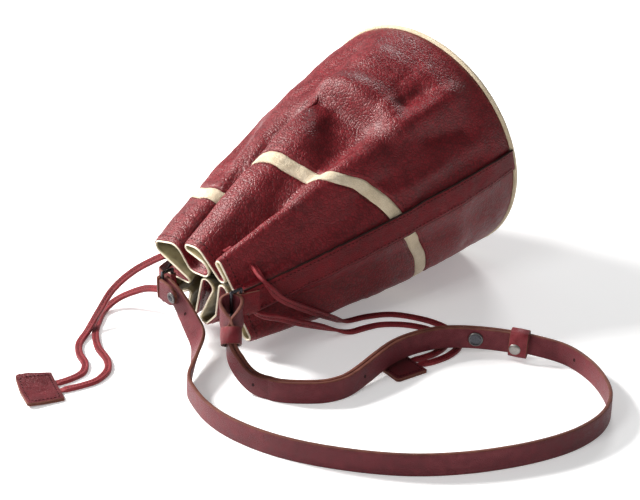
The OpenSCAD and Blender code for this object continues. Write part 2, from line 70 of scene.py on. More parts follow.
# Folds of the gathered mouth, clockwise from the top left when looking towards the base:
# centre across, centre up, radius, turn (-1 bulges out, +1 is hollow), angle reached at the base.
# Base angles are 0 at the top and 90 on the right.
FOLDS = [
    (-46, 21.5, 6.5, -1, -60), (-30, 20, 11.5, -1, -42), (-8, 18.6, 7.6, 1, -27),
    (2.3, 18.9, 7.6, 1, -18), (-9.3, 34, 3.4, -1, -8), (-1.5, 26.2, 12, -1, 3),
    (25, 17, 3.6, 1, 22), (25.8, 30.4, 3.2, -1, 40), (39, 12.4, 2.2, 1, 64),
    (45.6, 8.2, 3.8, -1, 80.3), (45.6, -6, 3.8, -1, 89.7), (40.4, -13, 2, 1, 106),
    (41.4, -33.5, 4.8, -1, 128), (24, 3.8, 4.4, 1, 152), (-1, -22, 10, -1, 165),
    (-9.3, -37, 4.6, -1, 180), (4.6, 1.4, 6, 1, 205), (-23.0, -31.5, 5.2, -1, 228),
    (-22.5, -15.0, 1.8, 1, 244), (-42, -19, 4, -1, 260.3), (-43.5, -7, 4, -1, 269.7),
    (-20.5, -1.5, 2.2, 1, 284)]
RIGHT_FOLD, LEFT_FOLD = 9, 19       # each side seam runs between this fold and the next

# The cream stripe: its edge nearer the mouth, its width, and its slant as (base angle, shift)
STRIPE_AT, STRIPE_W = 90.0, 12.0
STRIPE_SLANT = [
    (-90, -24), (-48, -41), (-35, -38), (-18, -20), (-3, -1), (8, 2), (20, 9), (32, 11),
    (41, 13), (46, 20), (52, 30), (60, 37), (70, 42), (82, 46), (95, 57), (113, 69),
    (140, 74), (180, 64), (220, 34), (250, -4), (270, -24)]

# Rows of the wall mesh
HEM_ROWS = [0, 0.7, 1.6, 3, 5, 7, 9.5, 12.5, 15, 17.0]
UPPER_STEPS = 30
STRIPE_STEPS = 5
LOWER_STEPS = 42
OUTLINE_STEP = 1.7

ARC = 1.66              # mm per degree of base angle, on a 95 mm radius

# The wide dent on the top: depth from the mouth, its middle angle, its half width in mm
DENT_MIDDLE = ([85, 110, 135, 165, 190], [22, 24, 18, 9, 8])
DENT_WIDTH = ([85, 110, 135, 165], [11, 14, 24, 37])

# Soft ridges (valleys where the height is negative): points of (depth, base angle), width,
# height or heights along the line, length of the fade at each end
RIDGES = [
    # the raised edge of the wide dent, round its left side and its base end
    ([(60, -5), (85, -22), (104, -32), (136, -31), (160, -28), (176, -19), (187, -2),
      (193, 15), (191, 30), (174, 44)], 11.5, [1.5, 2.6, 3.4, 5.4, 5.4, 4.6], 26),
    # a crest towards the base, the pocket above it and the valley below it
    ([(165, 45), (182, 43), (215, 43.5), (243, 44), (262, 45)], 10, 5.4, 24),
    ([(198, 22), (206, 30), (218, 33), (236, 33)], 10, -4.0, 14),
    ([(186, 52), (204, 54), (226, 58), (250, 61)], 8, -6.0, 18),
    # a long low ridge on the upper right, and a soft one at the dent's mouth end
    ([(60, 45), (118, 46), (150, 47), (172, 47)], 15, 1.8, 26),
    ([(60, 22), (85, 24), (104, 27), (118, 30)], 9, 2.6, 16),
    # a valley on the left side and the ridge below it
    ([(50, -44), (90, -48), (140, -52), (165, -56)], 9, -4.4, 40),
    ([(215, -70), (170, -74), (130, -76), (80, -70)], 14, 5.0, 30),
    # the top near the base
    ([(205, 2), (222, 3), (246, 6)], 16, 2.2, 14),
    ([(200, -28), (226, -22), (252, -14)], 12, -3.2, 18),
    # the right side
    ([(120, 62), (150, 66), (188, 68), (215, 66)], 7, 2.4, 18),
    ([(108, 58), (140, 58), (165, 58)], 6, -2.6, 16),
    ([(150, 80), (185, 76), (225, 74), (255, 76)], 7, -2.6, 20)]

# Smooth hills and hollows: height, depth, base angle, radius along, radius round, turn (radians)
HILLS = [
    (-2.4, 232, 100, 26, 12, 0), (-2.5, 175, 104, 26, 10, 0), (1.6, 205, 112, 12, 20, 0),
    (-4.5, 190, 205, 40, 22, 0), (3.0, 150, 250, 30, 14, 0), (-4.5, 210, 300, 30, 16, 0),
    (3.0, 165, 285, 24, 9, 0), (-3.5, 180, 240, 20, 26, 0.4), (2.4, 222, 262, 12, 30, 0.2)]

# Places with extra creases: weight, depth, base angle, radius in depth, radius in angle
CREASE_ZONES = [(1.0, 212, 38, 26.0, 24.0), (0.7, 150, 4, 22.0, 22.0),
                (0.6, 215, 92, 34.0, 16.0), (0.6, 70, 98, 30.0, 16.0)]


# ------------------------------------------------------------------ outline of the mouth
def signed_radius(i):
    return FOLDS[i][2] * FOLDS[i][3]


def heading_after(i):
    """Direction of the straight run that leaves fold i, tangent to it and to the next one."""
    this, after = i % len(FOLDS), (i + 1) % len(FOLDS)
    dx = FOLDS[after][0] - FOLDS[this][0]
    dy = FOLDS[after][1] - FOLDS[this][1]
    lean = math.asin((signed_radius(after) - signed_radius(this)) / np.hypot(dx, dy))
    return math.degrees(math.atan2(dy, dx) - lean)


def on_fold(i, heading):
    """The point of fold i where the outline runs in the given direction."""
    h = math.radians(heading)
    return (FOLDS[i][0] + signed_radius(i) * math.sin(h),
            FOLDS[i][1] - signed_radius(i) * math.cos(h))


def make_outline(step):
    """Outline points, with the column at the middle of each fold and of each run after it."""
    points, fold_mid, run_mid = [], [], []
    for i, (_, _, radius, turn_sign, _) in enumerate(FOLDS):
        h0, h1 = heading_after(i - 1), heading_after(i)
        turn = (h1 - h0) % 360 if turn_sign > 0 else -((h0 - h1) % 360)
        arc = abs(math.radians(turn)) * max(radius, 3.0)
        count = 2 * max(2, int(math.ceil(arc / (2 * step))))
        fold_mid.append(len(points) + count // 2)
        points += [on_fold(i, h0 + turn * k / count) for k in range(count + 1)]
        p, q = points[-1], on_fold((i + 1) % len(FOLDS), h1)
        dx, dy = q[0] - p[0], q[1] - p[1]
        count = 2 * max(1, int(math.ceil(math.hypot(dx, dy) / (2 * step))))
        run_mid.append(len(points) - 1 + count // 2)
        points += [(p[0] + dx * k / count, p[1] + dy * k / count) for k in range(1, count)]
    return np.array(points), fold_mid, run_mid


OUTLINE, FOLD_MID, RUN_MID = make_outline(OUTLINE_STEP)
COLUMNS = len(OUTLINE)
side_lengths = np.linalg.norm(np.roll(OUTLINE, -1, 0) - OUTLINE, axis=1)
AROUND = np.concatenate([[0], np.cumsum(side_lengths)[:-1]])
round_length = side_lengths.sum()
ANGLE = np.interp(
    AROUND,
    [AROUND[FOLD_MID[-1]] - round_length] + [AROUND[c] for c in FOLD_MID]
    + [round_length + AROUND[FOLD_MID[0]]],
    [FOLDS[-1][4] - 360] + [f[4] for f in FOLDS] + [FOLDS[0][4] + 360])
slant_angle = np.where(ANGLE > 270, ANGLE - 360, np.where(ANGLE < -90, ANGLE + 360, ANGLE))
STRIPE_EDGE = STRIPE_AT + np.interp(slant_angle, *zip(*STRIPE_SLANT))
for _ in range(3):
    STRIPE_EDGE = (np.roll(STRIPE_EDGE, 1) + STRIPE_EDGE * 2 + np.roll(STRIPE_EDGE, -1)) / 4


# ------------------------------------------------------------------ relief of the wall
def half_turn(angle):
    """The angle brought to -180..180."""
    return (angle + 180) % 360 - 180


def smoothstep(x):
    t = np.clip(x, 0, 1)
    return t ** 2 * (3 - 2 * t)


def hill(depth, angle, height, at, at_angle, along, across, turn):
    x = depth - at
    y = half_turn(angle - at_angle) * ARC
    c, s = math.cos(turn), math.sin(turn)
    u, v = x * c + y * s, -x * s + y * c
    return height * np.exp(-(u / along) ** 2 - (v / across) ** 2)


def ridge(depth, angle, line, width, height, fade):
    nearest = np.full(depth.shape, 1e9)
    position = np.zeros(depth.shape)
    y = half_turn(angle) * ARC
    length = 0.0
    points = [(px, py * ARC) for px, py in line]
    for (x0, y0), (x1, y1) in zip(points, points[1:]):
        dx, dy = x1 - x0, y1 - y0
        squared = dx * dx + dy * dy
        t = np.clip(((depth - x0) * dx + (y - y0) * dy) / squared, 0, 1)
        distance = np.hypot(depth - x0 - t * dx, y - y0 - t * dy)
        nearer = distance < nearest
        nearest = np.where(nearer, distance, nearest)
        position = np.where(nearer, length + t * math.sqrt(squared), position)
        length += math.sqrt(squared)
    ends = np.clip(position / fade, 0, 1) * np.clip((length - position) / fade, 0, 1)
    if isinstance(height, list):
        height = np.interp(position / length, np.linspace(0, 1, len(height)), height)
    return height * smoothstep(ends) * np.exp(-(nearest / width) ** 2)


def sculpt(depth, angle):
    """How far the dents and ridges stand out from the plain gathered form."""
    deg = half_turn(angle)
    middle = np.interp(depth, *DENT_MIDDLE)
    width = np.interp(depth, *DENT_WIDTH)
    width = np.where(deg < middle, width * 0.8, width * 1.02)
    # the dent deepens slowly and ends against a steep edge towards the base
    out = -12.5 * smoothstep((depth - 98) / 66) * (1 - smoothstep((depth - 165) / 21))
    out = out * np.exp(-np.abs((deg - middle) * ARC / width) ** 2.1)
    for item in RIDGES:
        out += ridge(depth, angle, *item)
    for item in HILLS:
        out += hill(depth, angle, *item)
    return out


def creased(value, sharpness, power=1.0):
    """A narrow crest along the zero line of a noise value."""
    return max(0.0, 1 - abs(value) * sharpness) ** power


def wrinkle(x, q, angle):
    """Fine relief at depth x, q mm round the mouth outline."""
    deg = half_turn(angle)
    fade_in = min(1.0, x / 60)
    # long lazy undulations
    out = 1.6 * noise.noise((x * 0.024, q * 0.022, 3.1)) * fade_in
    out += 0.7 * noise.noise((x * 0.06, q * 0.05, 9.1)) * fade_in
    # short creases across the valleys, in a band below the mouth
    across = noise.noise((x * 0.16 + 0.05 * q, q * 0.035, 7.7))
    patch = noise.noise((x * 0.02, q * 0.03, 21.0)) * 0.5 + 0.5
    out -= 0.8 * creased(across, 3.5, 1.6) * patch * math.exp(-((x - 95) / 55.0) ** 2)
    # light creases everywhere else
    light = noise.noise((x * 0.09 - 0.03 * q, q * 0.11, 13.2))
    out -= 0.28 * creased(light, 4.0) * (1 - patch * 0.6) * fade_in
    # extra creases in the listed zones
    zone = sum(weight * math.exp(-((x - at) / rx) ** 2 - ((deg - at_angle) / ry) ** 2)
               for weight, at, at_angle, rx, ry in CREASE_ZONES)
    extra = noise.noise((x * 0.10 + 0.04 * q, q * 0.05 - 0.03 * x, 31.0))
    out += zone * (-0.9 * creased(extra, 4.0, 1.4)
                   + 0.25 * noise.noise((x * 0.13, q * 0.12, 5.5)))
    # pleats that fan out from the mouth
    pleat = noise.noise((x * 0.012, q * 0.20, 1.7))
    out += 0.5 * pleat * math.exp(-(x / 42.0) ** 2) * min(1.0, x / 6)
    return out * min(1.0, (LAST_ROW - x) / 20.0 + 0.1)


# ------------------------------------------------------------------ the wall as rows x columns
def wall_rows():
    """Depth of each row in each column: upper part, stripe, lower part."""
    hem, far_edge = HEM_ROWS[-1], STRIPE_EDGE + STRIPE_W
    rows = [np.full_like(STRIPE_EDGE, h) for h in HEM_ROWS]
    rows += [hem + (STRIPE_EDGE - hem) * k / UPPER_STEPS for k in range(1, UPPER_STEPS + 1)]
    rows += [STRIPE_EDGE + STRIPE_W * k / STRIPE_STEPS for k in range(1, STRIPE_STEPS + 1)]
    rows += [far_edge + (LAST_ROW - far_edge) * (k / LOWER_STEPS)
             for k in range(1, LOWER_STEPS + 1)]
    return np.array(rows)


def plain_form(depth):
    """The gathered outline passing smoothly into the round base."""
    gather_share = np.clip(1 - depth / BODY_L, 0, 1)
    radius = WALL_R * (1 - gather_share ** FULLNESS)
    turn = np.radians(ANGLE)
    across = OUTLINE[:, 0] * gather_share + radius * np.sin(turn)
    rise = OUTLINE[:, 1] * gather_share + radius * np.cos(turn)
    return MOUTH_C + across[..., None] * RIGHT + rise[..., None] * UP + depth[..., None] * AXIS


def surface_normals(points):
    down = np.gradient(points, axis=0)
    sideways = np.roll(points, -1, 1) - np.roll(points, 1, 1)
    n = np.cross(sideways, down)
    return n / np.maximum(np.linalg.norm(n, axis=2, keepdims=True), 1e-9)


DEPTH = wall_rows()
STRIPE_TOP = len(HEM_ROWS) + UPPER_STEPS - 1
STRIPE_END = STRIPE_TOP + STRIPE_STEPS
angle_grid = np.broadcast_to(ANGLE, DEPTH.shape)
around_grid = np.broadcast_to(AROUND, DEPTH.shape)
wrinkles = np.array([wrinkle(*spot) for spot in
                     zip(DEPTH.ravel(), around_grid.ravel(), angle_grid.ravel())])
relief = sculpt(DEPTH, angle_grid) * np.clip((DEPTH - 20) / 60, 0, 1)
relief = relief + wrinkles.reshape(DEPTH.shape)
plain = plain_form(DEPTH)
SURF = plain + surface_normals(plain) * relief[..., None]
NORMAL = surface_normals(SURF)


def off_wall(offset):
    """The wall moved out by an offset, with its lower side softly laid on the floor."""
    offset = np.broadcast_to(offset, DEPTH.shape)
    points = SURF + NORMAL * offset[..., None]
    floor_z = LEATHER - offset
    blend = 2.2
    d = points[..., 2] - floor_z
    eased = np.where(d < -blend, 0.0, (d + blend) ** 2 / (4 * blend))
    points[..., 2] = floor_z + np.where(d > blend, d, eased)
    return points


def panel_wall(thickness, thin_rows):
    """Outer face of a panel whose listed rows are thinner, as edges turned in."""
    offset = np.full(DEPTH.shape, thickness)
    for row, value in thin_rows.items():
        offset[row] = value
    return off_wall(offset)


UPPER_WALL = panel_wall(LEATHER, {0: 1.0, STRIPE_TOP: 0.55})
STRIPE_WALL = panel_wall(1.1, {STRIPE_TOP: 0.5, STRIPE_END: 0.5})
LOWER_WALL = panel_wall(LEATHER, {STRIPE_END: 0.55, -1: 0.7})
INNER_WALL = off_wall(0.0)
OUTER_WALL = off_wall(LEATHER)


# ------------------------------------------------------------------ materials
def new_material(name):
    material = bpy.data.materials.new(name)
    material.use_nodes = True
    tree = material.node_tree
    return material, tree, tree.nodes["Principled BSDF"]


def srgb(color):
    """Linear colour from 0-255 values."""
    linear = [c / 12.92 if c <= 0.04045 else ((c + 0.055) / 1.055) ** 2.4
              for c in (v / 255 for v in color)]
    return (*linear, 1)


def grey(value):
    return (value, value, value, 1)


def add_node(tree, kind, **settings):
    """A new node; each setting goes to the input of that name, or else to the property."""
    node = tree.nodes.new(kind)
    for key, value in settings.items():
        if key in node.inputs:
            node.inputs[key].default_value = value
        else:
            setattr(node, key, value)
    return node


def noise_node(tree, coords, scale, detail):
    node = add_node(tree, "ShaderNodeTexNoise", Scale=scale, Detail=detail)
    tree.links.new(coords, node.inputs["Vector"])
    return node


def object_coords(tree):
    return add_node(tree, "ShaderNodeTexCoord").outputs["Object"]


def ramp(tree, source, *stops):
    node = tree.nodes.new("ShaderNodeValToRGB")
    elements = node.color_ramp.elements
    while len(elements) > 1:
        elements.remove(elements[-1])
    elements[0].position, elements[0].color = stops[0]
    for position, color in stops[1:]:
        elements.new(position).color = color
    tree.links.new(source, node.inputs[0])
    return node.outputs[0]


def scaled(tree, source, factor, plus=None):
    """source * factor, or source * factor + plus."""
    operation = "MULTIPLY" if plus is None else "MULTIPLY_ADD"
    node = add_node(tree, "ShaderNodeMath", operation=operation)
    node.inputs[1].default_value = factor
    tree.links.new(source, node.inputs[0])
    if plus is not None:
        tree.links.new(plus, node.inputs[2])
    return node.outputs[0]


def color_mix(tree, a, blend_type="MIX"):
    node = tree.nodes.new("ShaderNodeMix")
    node.data_type = "RGBA"
    node.blend_type = blend_type
    tree.links.new(a, node.inputs["A"])
    return node


def bump(tree, shader, height, strength, distance):
    node = add_node(tree, "ShaderNodeBump", Strength=strength, Distance=distance)
    tree.links.new(height, node.inputs["Height"])
    tree.links.new(node.outputs[0], shader.inputs["Normal"])


def leather(name, dark, mid, light, grain, relief, rough, coat=0.0, wear=0.5, crease_shade=0.5,
            depth=0.00045, specular=0.34, tint=(1.0, 0.62, 0.6, 1)):
    """Grained leather: grain is the cell scale, relief and depth (m) the bump, wear the paler
    ridges, and the crease weight paints shade into the grain lines."""
    material, tree, shader = new_material(name)
    link = tree.links.new
    light = srgb(light)
    coords = object_coords(tree)
    broad = noise_node(tree, coords, 14.0, 3.0).outputs["Fac"]
    fine = noise_node(tree, coords, 160.0, 4.0).outputs["Fac"]
    warp = noise_node(tree, coords, grain * 0.45, 2.0)

    # two sizes of grain cells, on slightly warped coordinates
    warped = add_node(tree, "ShaderNodeVectorMath", operation="MULTIPLY_ADD")
    link(warp.outputs["Color"], warped.inputs[0])
    warped.inputs[1].default_value = (0.7 / grain,) * 3
    link(coords, warped.inputs[2])
    cells = []
    for scale in (grain, grain * 2.3):
        node = add_node(tree, "ShaderNodeTexVoronoi", Scale=scale, feature="DISTANCE_TO_EDGE")
        link(warped.outputs[0], node.inputs["Vector"])
        cells.append(node.outputs["Distance"])

    # mottled colour, paler on worn ridges, with painted shade darkening the grain lines
    mottle = scaled(tree, broad, 0.55, plus=scaled(tree, fine, 0.55))
    color = ramp(tree, mottle, (0.33, srgb(dark)), (0.55, srgb(mid)), (0.78, light))
    geometry = add_node(tree, "ShaderNodeNewGeometry")
    worn = ramp(tree, geometry.outputs["Pointiness"], (0.49, grey(0)), (0.56, grey(1)))
    worn_mix = color_mix(tree, color)
    link(scaled(tree, worn, wear), worn_mix.inputs["Factor"])
    worn_mix.inputs["B"].default_value = light
    # painted shade: the edges of the grain cells are darkened as if shaded
    grain_shade_mix = color_mix(tree, worn_mix.outputs["Result"], "MULTIPLY")
    grain_shade_mix.inputs["Factor"].default_value = crease_shade
    link(ramp(tree, cells[0], (0.0, grey(0.30)), (0.16, grey(1))), grain_shade_mix.inputs["B"])
    link(grain_shade_mix.outputs["Result"], shader.inputs["Base Color"])

    link(ramp(tree, fine, (0.3, grey(rough - 0.08)), (0.75, grey(rough + 0.12))),
         shader.inputs["Roughness"])
    large = ramp(tree, cells[0], (0.0, grey(0)), (0.22, grey(1)))
    small = ramp(tree, cells[1], (0.0, grey(0)), (0.25, grey(1)))
    height = scaled(tree, fine, 0.8, plus=scaled(tree, small, 0.35, plus=large))
    bump(tree, shader, height, strength=relief, distance=depth)
    shader.inputs["Coat Weight"].default_value = coat
    shader.inputs["Coat Roughness"].default_value = 0.28
    shader.inputs["Coat Tint"].default_value = (1.0, 0.82, 0.8, 1)
    shader.inputs["Specular IOR Level"].default_value = specular
    shader.inputs["Specular Tint"].default_value = tint
    return material


def suede(name, dark, mid, light):
    material, tree, shader = new_material(name)
    coords = object_coords(tree)
    patches = noise_node(tree, coords, 60.0, 5.0).outputs["Fac"]
    nap = noise_node(tree, coords, 2600.0, 2.0).outputs["Fac"]
    color = ramp(tree, patches, (0.32, srgb(dark)), (0.52, srgb(mid)), (0.72, srgb(light)))
    tree.links.new(color, shader.inputs["Base Color"])
    shader.inputs["Roughness"].default_value = 0.95
    shader.inputs["Sheen Weight"].default_value = 0.35
    bump(tree, shader, nap, strength=0.5, distance=0.0002)
    return material


def metal(name, color, rough):
    """Slightly mottled metal; the colour is linear."""
    material, tree, shader = new_material(name)
    mottle = noise_node(tree, object_coords(tree), 700.0, 3.0).outputs["Fac"]
    darker = tuple(c * 0.75 for c in color)
    tree.links.new(ramp(tree, mottle, (0.3, (*darker, 1)), (0.7, (*color, 1))),
                   shader.inputs["Base Color"])
    tree.links.new(ramp(tree, mottle, (0.3, grey(rough)), (0.8, grey(rough + 0.15))),
                   shader.inputs["Roughness"])
    shader.inputs["Metallic"].default_value = 1
    return material


RED = leather("burgundy_leather", (78, 12, 19), (106, 17, 26), (132, 30, 39), grain=330,
              relief=0.8, rough=0.43, coat=0.03, wear=0.2, crease_shade=0.62, depth=0.0003,
              specular=0.42, tint=(1.0, 0.74, 0.72, 1))
RED_EDGE = leather("burgundy_cut_edge", (60, 12, 17), (84, 18, 25), (104, 30, 36),
                   grain=1500, relief=0.2, rough=0.6)
STRIP = leather("strip_leather", (78, 13, 20), (108, 19, 28), (132, 32, 40), grain=620,
                relief=0.7, rough=0.44, wear=0.3, crease_shade=0.4, depth=0.0006)
CREAM = leather("cream_leather", (204, 186, 152), (222, 206, 176), (234, 221, 196), grain=700,
                relief=0.6, rough=0.5, coat=0.03, wear=0.2, crease_shade=0.22, depth=0.0006)
CREAM_EDGE = leather("cream_edge", (214, 202, 174), (230, 220, 196), (240, 232, 214),
                     grain=1800, relief=0.15, rough=0.55, coat=0.03, wear=0.0, crease_shade=0.1)
KHAKI = suede("khaki_suede", (96, 84, 54), (138, 124, 86), (168, 154, 112))
STRAP = leather("strap_leather", (78, 26, 33), (100, 37, 45), (122, 56, 62), grain=900,
                relief=0.6, rough=0.46, coat=0.05, wear=0.25, crease_shade=0.35, depth=0.0006)
BROWN = leather("painted_edge", (72, 38, 30), (96, 54, 44), (120, 76, 62), grain=2200,
                relief=0.25, rough=0.6, wear=0.2, crease_shade=0.3)
LACE = leather("lace_leather", (84, 18, 24), (118, 28, 36), (146, 52, 58), grain=1500,
               relief=0.4, rough=0.46, wear=0.5, crease_shade=0.3)
TAB = leather("tab_leather", (64, 14, 20), (90, 22, 30), (120, 42, 50), grain=800,
              relief=0.8, rough=0.42, coat=0.03, wear=0.4, crease_shade=0.4, depth=0.0007)
KEEPER = leather("keeper_leather", (82, 16, 23), (108, 26, 35), (134, 46, 54), grain=1100,
                 relief=0.5, rough=0.40, coat=0.10, wear=0.4, crease_shade=0.25)
# dark thread for the stitches, also used for the painted shade of the punched holes
THREAD_AND_HOLE_SHADE = leather("dark_thread_and_hole_shade", (22, 6, 9), (34, 10, 13), (54, 20, 24), grain=3000,
                 relief=0.3, rough=0.7, wear=0.0)
INSIDE = suede("flesh_side", (40, 16, 16), (56, 24, 22), (70, 34, 30))
# the strip's raw cut edge: dark partly by its own colour and partly as painted shade under its
# raised lip
STRIP_EDGE_AND_SHADE = leather("strip_raw_edge_and_shade", (22, 8, 7), (36, 14, 11), (60, 26, 20), grain=2200,
                     relief=0.3, rough=0.7, wear=0.1)
GUN = metal("gunmetal", (0.075, 0.075, 0.085), rough=0.24)
RIM = metal("snap_rim", (0.15, 0.145, 0.14), rough=0.34)
NICKEL = metal("nickel", (0.34, 0.32, 0.30), rough=0.34)


# ------------------------------------------------------------------ mesh helpers
def mesh_obj(name, verts, faces, mats, face_mats=None):
    mesh = bpy.data.meshes.new(name)
    mesh.from_pydata([tuple(float(c) * MM for c in v) for v in verts], [],
                     [tuple(int(i) for i in f) for f in faces])
    for mat in mats:
        mesh.materials.append(mat)
    if face_mats is not None:
        mesh.polygons.foreach_set("material_index", face_mats)
    mesh.polygons.foreach_set("use_smooth", [True] * len(mesh.polygons))
    mesh.validate()
    mesh.update()
    # cut ends, the faces with more than four corners, keep a crisp rim
    ends = [p for p in mesh.polygons if len(p.vertices) > 4]
    edges = {e.key: e for e in mesh.edges} if ends else {}
    for end in ends:
        end.use_smooth = False
        for key in end.edge_keys:
            edges[key].use_edge_sharp = True
    ob = bpy.data.objects.new(name, mesh)
    bpy.context.scene.collection.objects.link(ob)
    return ob


def assign(ob, body, node=None):
    if node:
        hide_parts(node)
    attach(ob, body)


def quads(start, rings, size, closed=False, flip=False):
    """Quads between successive rings of vertices."""
    faces = []
    for i in range(rings if closed else rings - 1):
        this, after = start + i * size, start + (i + 1) % rings * size
        for k in range(size):
            j = (k + 1) % size
            a, b, c, d = this + k, this + j, after + j, after + k
            faces.append((a, b, c, d) if flip else (a, d, c, b))
    return faces


def add_sweep(verts, faces, path, side, out, profile, closed=False, flip=False):
    """Carries a profile of (side, out) points along a path; open sweeps get end caps."""
    start, rings, size = len(verts), len(path), len(profile)
    points = path[:, None] + side[:, None] * profile[:, :1] + out[:, None] * profile[:, 1:]
    verts.extend(points.reshape(-1, 3))
    faces += quads(start, rings, size, closed, flip)
    if not closed:
        first = range(start, start + size)
        last = range(start + (rings - 1) * size, start + rings * size)
        faces.append(tuple(reversed(first) if flip else first))
        faces.append(tuple(last if flip else reversed(last)))


def sweep(name, path, side, out, profile, mats, side_mats=None, closed=False):
    """One swept piece; with side_mats, its end caps take the second material."""
    verts, faces = [], []
    add_sweep(verts, faces, path, side, out, profile, closed)
    face_mats = [0] * len(faces)
    if side_mats:
        face_mats = side_mats * (len(path) - 1) + [1, 1]
    return mesh_obj(name, verts, faces, mats, face_mats)


def circle(count):
    turns = [2 * math.pi * k / count for k in range(count)]
    return np.array([(math.cos(t), math.sin(t)) for t in turns])


def slab(name, outer, inner, mats, closed=False):
    """A piece between two grids of points. The cut edges take the second material and the
    inner face the third, if there is one."""
    rows, cols = outer.shape[:2]
    verts = np.concatenate([outer.reshape(-1, 3), inner.reshape(-1, 3)])
    n = rows * cols
    inner_mat = 2 if len(mats) > 2 else 0
    faces, face_mats = [], []
    last = cols if closed else cols - 1
    for r in range(rows - 1):
        for c in range(last):
            a, b = r * cols + c, r * cols + (c + 1) % cols
            faces.append((a, b, b + cols, a + cols))
            faces.append((n + a, n + a + cols, n + b + cols, n + b))
            face_mats += [0, inner_mat]
    end = (rows - 1) * cols
    for c in range(last):
        a, b = c, (c + 1) % cols
        faces.append((a, n + a, n + b, b))
        a, b = end + a, end + b
        faces.append((a, b, n + b, n + a))
        face_mats += [1, 1]
    if not closed:
        for r in range(rows - 1):
            a, b = r * cols, (r + 1) * cols
            faces.append((a, b, n + b, n + a))
            a, b = a + cols - 1, b + cols - 1
            faces.append((a, n + a, n + b, b))
            face_mats += [1, 1]
    return mesh_obj(name, verts, faces, mats, face_mats)


def turned(places, profile, count):
    """Turns a profile of (radius, height) at each place, given as (centre, two directions of
    the plane, axis). Also returns the profile segment of each face."""
    verts, faces, segments = [], [], []
    for center, first, second, axis in places:
        rings = []
        for radius, height in profile:
            start = len(verts)
            if radius == 0:
                rings.append([start] * count)
                verts.append(center + axis * height)
                continue
            rings.append(list(range(start, start + count)))
            for c, s in circle(count):
                verts.append(center + first * radius * c + second * radius * s + axis * height)
        for q, (low, high) in enumerate(zip(rings, rings[1:])):
            for k in range(count):
                j = (k + 1) % count
                corners = tuple(dict.fromkeys((low[k], low[j], high[j], high[k])))
                if len(corners) > 2:
                    faces.append(corners)
                    segments.append(q)
    return verts, faces, segments


def lathe(name, place, profile, mats, count, segment_mats=None):
    verts, faces, segments = turned([place], profile, count)
    face_mats = [segment_mats[q] if segment_mats else 0 for q in segments]
    return mesh_obj(name, verts, faces, mats, face_mats)


def tangents(path):
    t = np.gradient(path, axis=0)
    return t / np.maximum(np.linalg.norm(t, axis=1, keepdims=True), 1e-9)


# A stitch: share of its length, radius factor and lift of each ring
STITCH_RINGS = [(0.0, 0.35, -0.12), (0.2, 1, 0.1), (None, 1.05, 0.16), (0.8, 1, 0.1),
                (1.0, 0.35, -0.12)]     # None is the point midway along the line itself
STITCH_FLAT = 0.7


def stitches(name, runs, body, length, gap, radius):
    """Short threads laid along lines, each run given as its points and their normals."""
    verts, faces = [], []
    ring = circle(6)
    factor = np.array([f for _, f, _ in STITCH_RINGS])[:, None]
    lift = np.array([rise for _, _, rise in STITCH_RINGS])[:, None]
    for points, normals in runs:
        steps = np.linalg.norm(np.diff(points, axis=0), axis=1)
        along = np.concatenate([[0], np.cumsum(steps)])

        def at(values, x):
            return np.array([np.interp(x, along, values[:, k]) for k in range(3)])

        x = gap
        while x + length < along[-1]:
            start, middle, end = (at(points, x), at(points, x + length / 2),
                                  at(points, x + length))
            normal = at(normals, x + length / 2)
            normal /= max(np.linalg.norm(normal), 1e-9)
            thread = end - start
            if np.linalg.norm(thread) > length * 0.6:
                thread /= np.linalg.norm(thread)
                across = np.cross(normal, thread)
                path = np.array([middle if share is None else start * (1 - share) + end * share
                                 for share, _, _ in STITCH_RINGS])
                add_sweep(verts, faces, path + normal * lift, across * radius * factor,
                          normal * radius * STITCH_FLAT * factor, ring, flip=True)
            x += length + gap
    assign(mesh_obj(name, verts, faces, [THREAD_AND_HOLE_SHADE]), body)


# ------------------------------------------------------------------ body panels and lining
def cols_between(first, last):
    cols = [first]
    while cols[-1] != last:
        cols.append((cols[-1] + 1) % COLUMNS)
    return cols


SEAM_R, SEAM_L = RUN_MID[RIGHT_FOLD], RUN_MID[LEFT_FOLD]
FRONT = cols_between(SEAM_L, SEAM_R)    # over the top
BACK = cols_between(SEAM_R, SEAM_L)     # along the floor

for side, cols in (("front", FRONT), ("back", BACK)):
    for part, rows, wall, mats, slot in (
            ("upper_panel", slice(0, STRIPE_TOP + 1), UPPER_WALL,
             [RED, RED_EDGE, INSIDE], "burgundy_leather"),
            ("stripe", slice(STRIPE_TOP, STRIPE_END + 1), STRIPE_WALL,
             [CREAM, CREAM_EDGE, INSIDE], "cream_stripe_leather"),
            ("lower_panel", slice(STRIPE_END, None), LOWER_WALL,
             [RED, RED_EDGE, INSIDE], "burgundy_leather")):
        ob = slab(f"{side}_{part}_leather", wall[rows][:, cols], INNER_WALL[rows][:, cols], mats)
        assign(ob, "bag", f"{side}_{part}")

# the lining lies closer to the leather below the mouth, where the dents are sharp
close = np.clip((DEPTH - 50) / 30, 0, 1)
ob = slab("lining_suede", off_wall(-0.9 + 0.85 * close), off_wall(-1.7 + 1.45 * close),
          [KHAKI, KHAKI], closed=True)
assign(ob, "bag", "lining")

# the thin cream facing, rolled over the edge of the mouth: points of (off the wall, outwards)
FACING = np.array([(0.15, -0.6), (0.22, 0.2), (0.05, 0.95), (-0.35, 1.3), (-0.8, 1.05),
                   (-1.0, 0.3), (-1.0, -4.5), (-0.45, -4.5), (-0.4, -0.6)])
mouth_out = INNER_WALL[0] - INNER_WALL[3]
mouth_out /= np.linalg.norm(mouth_out, axis=1, keepdims=True)
ob = sweep("mouth_edge_facing", INNER_WALL[0], NORMAL[0], mouth_out, FACING, [CREAM_EDGE],
           closed=True)
assign(ob, "bag", "mouth_binding")

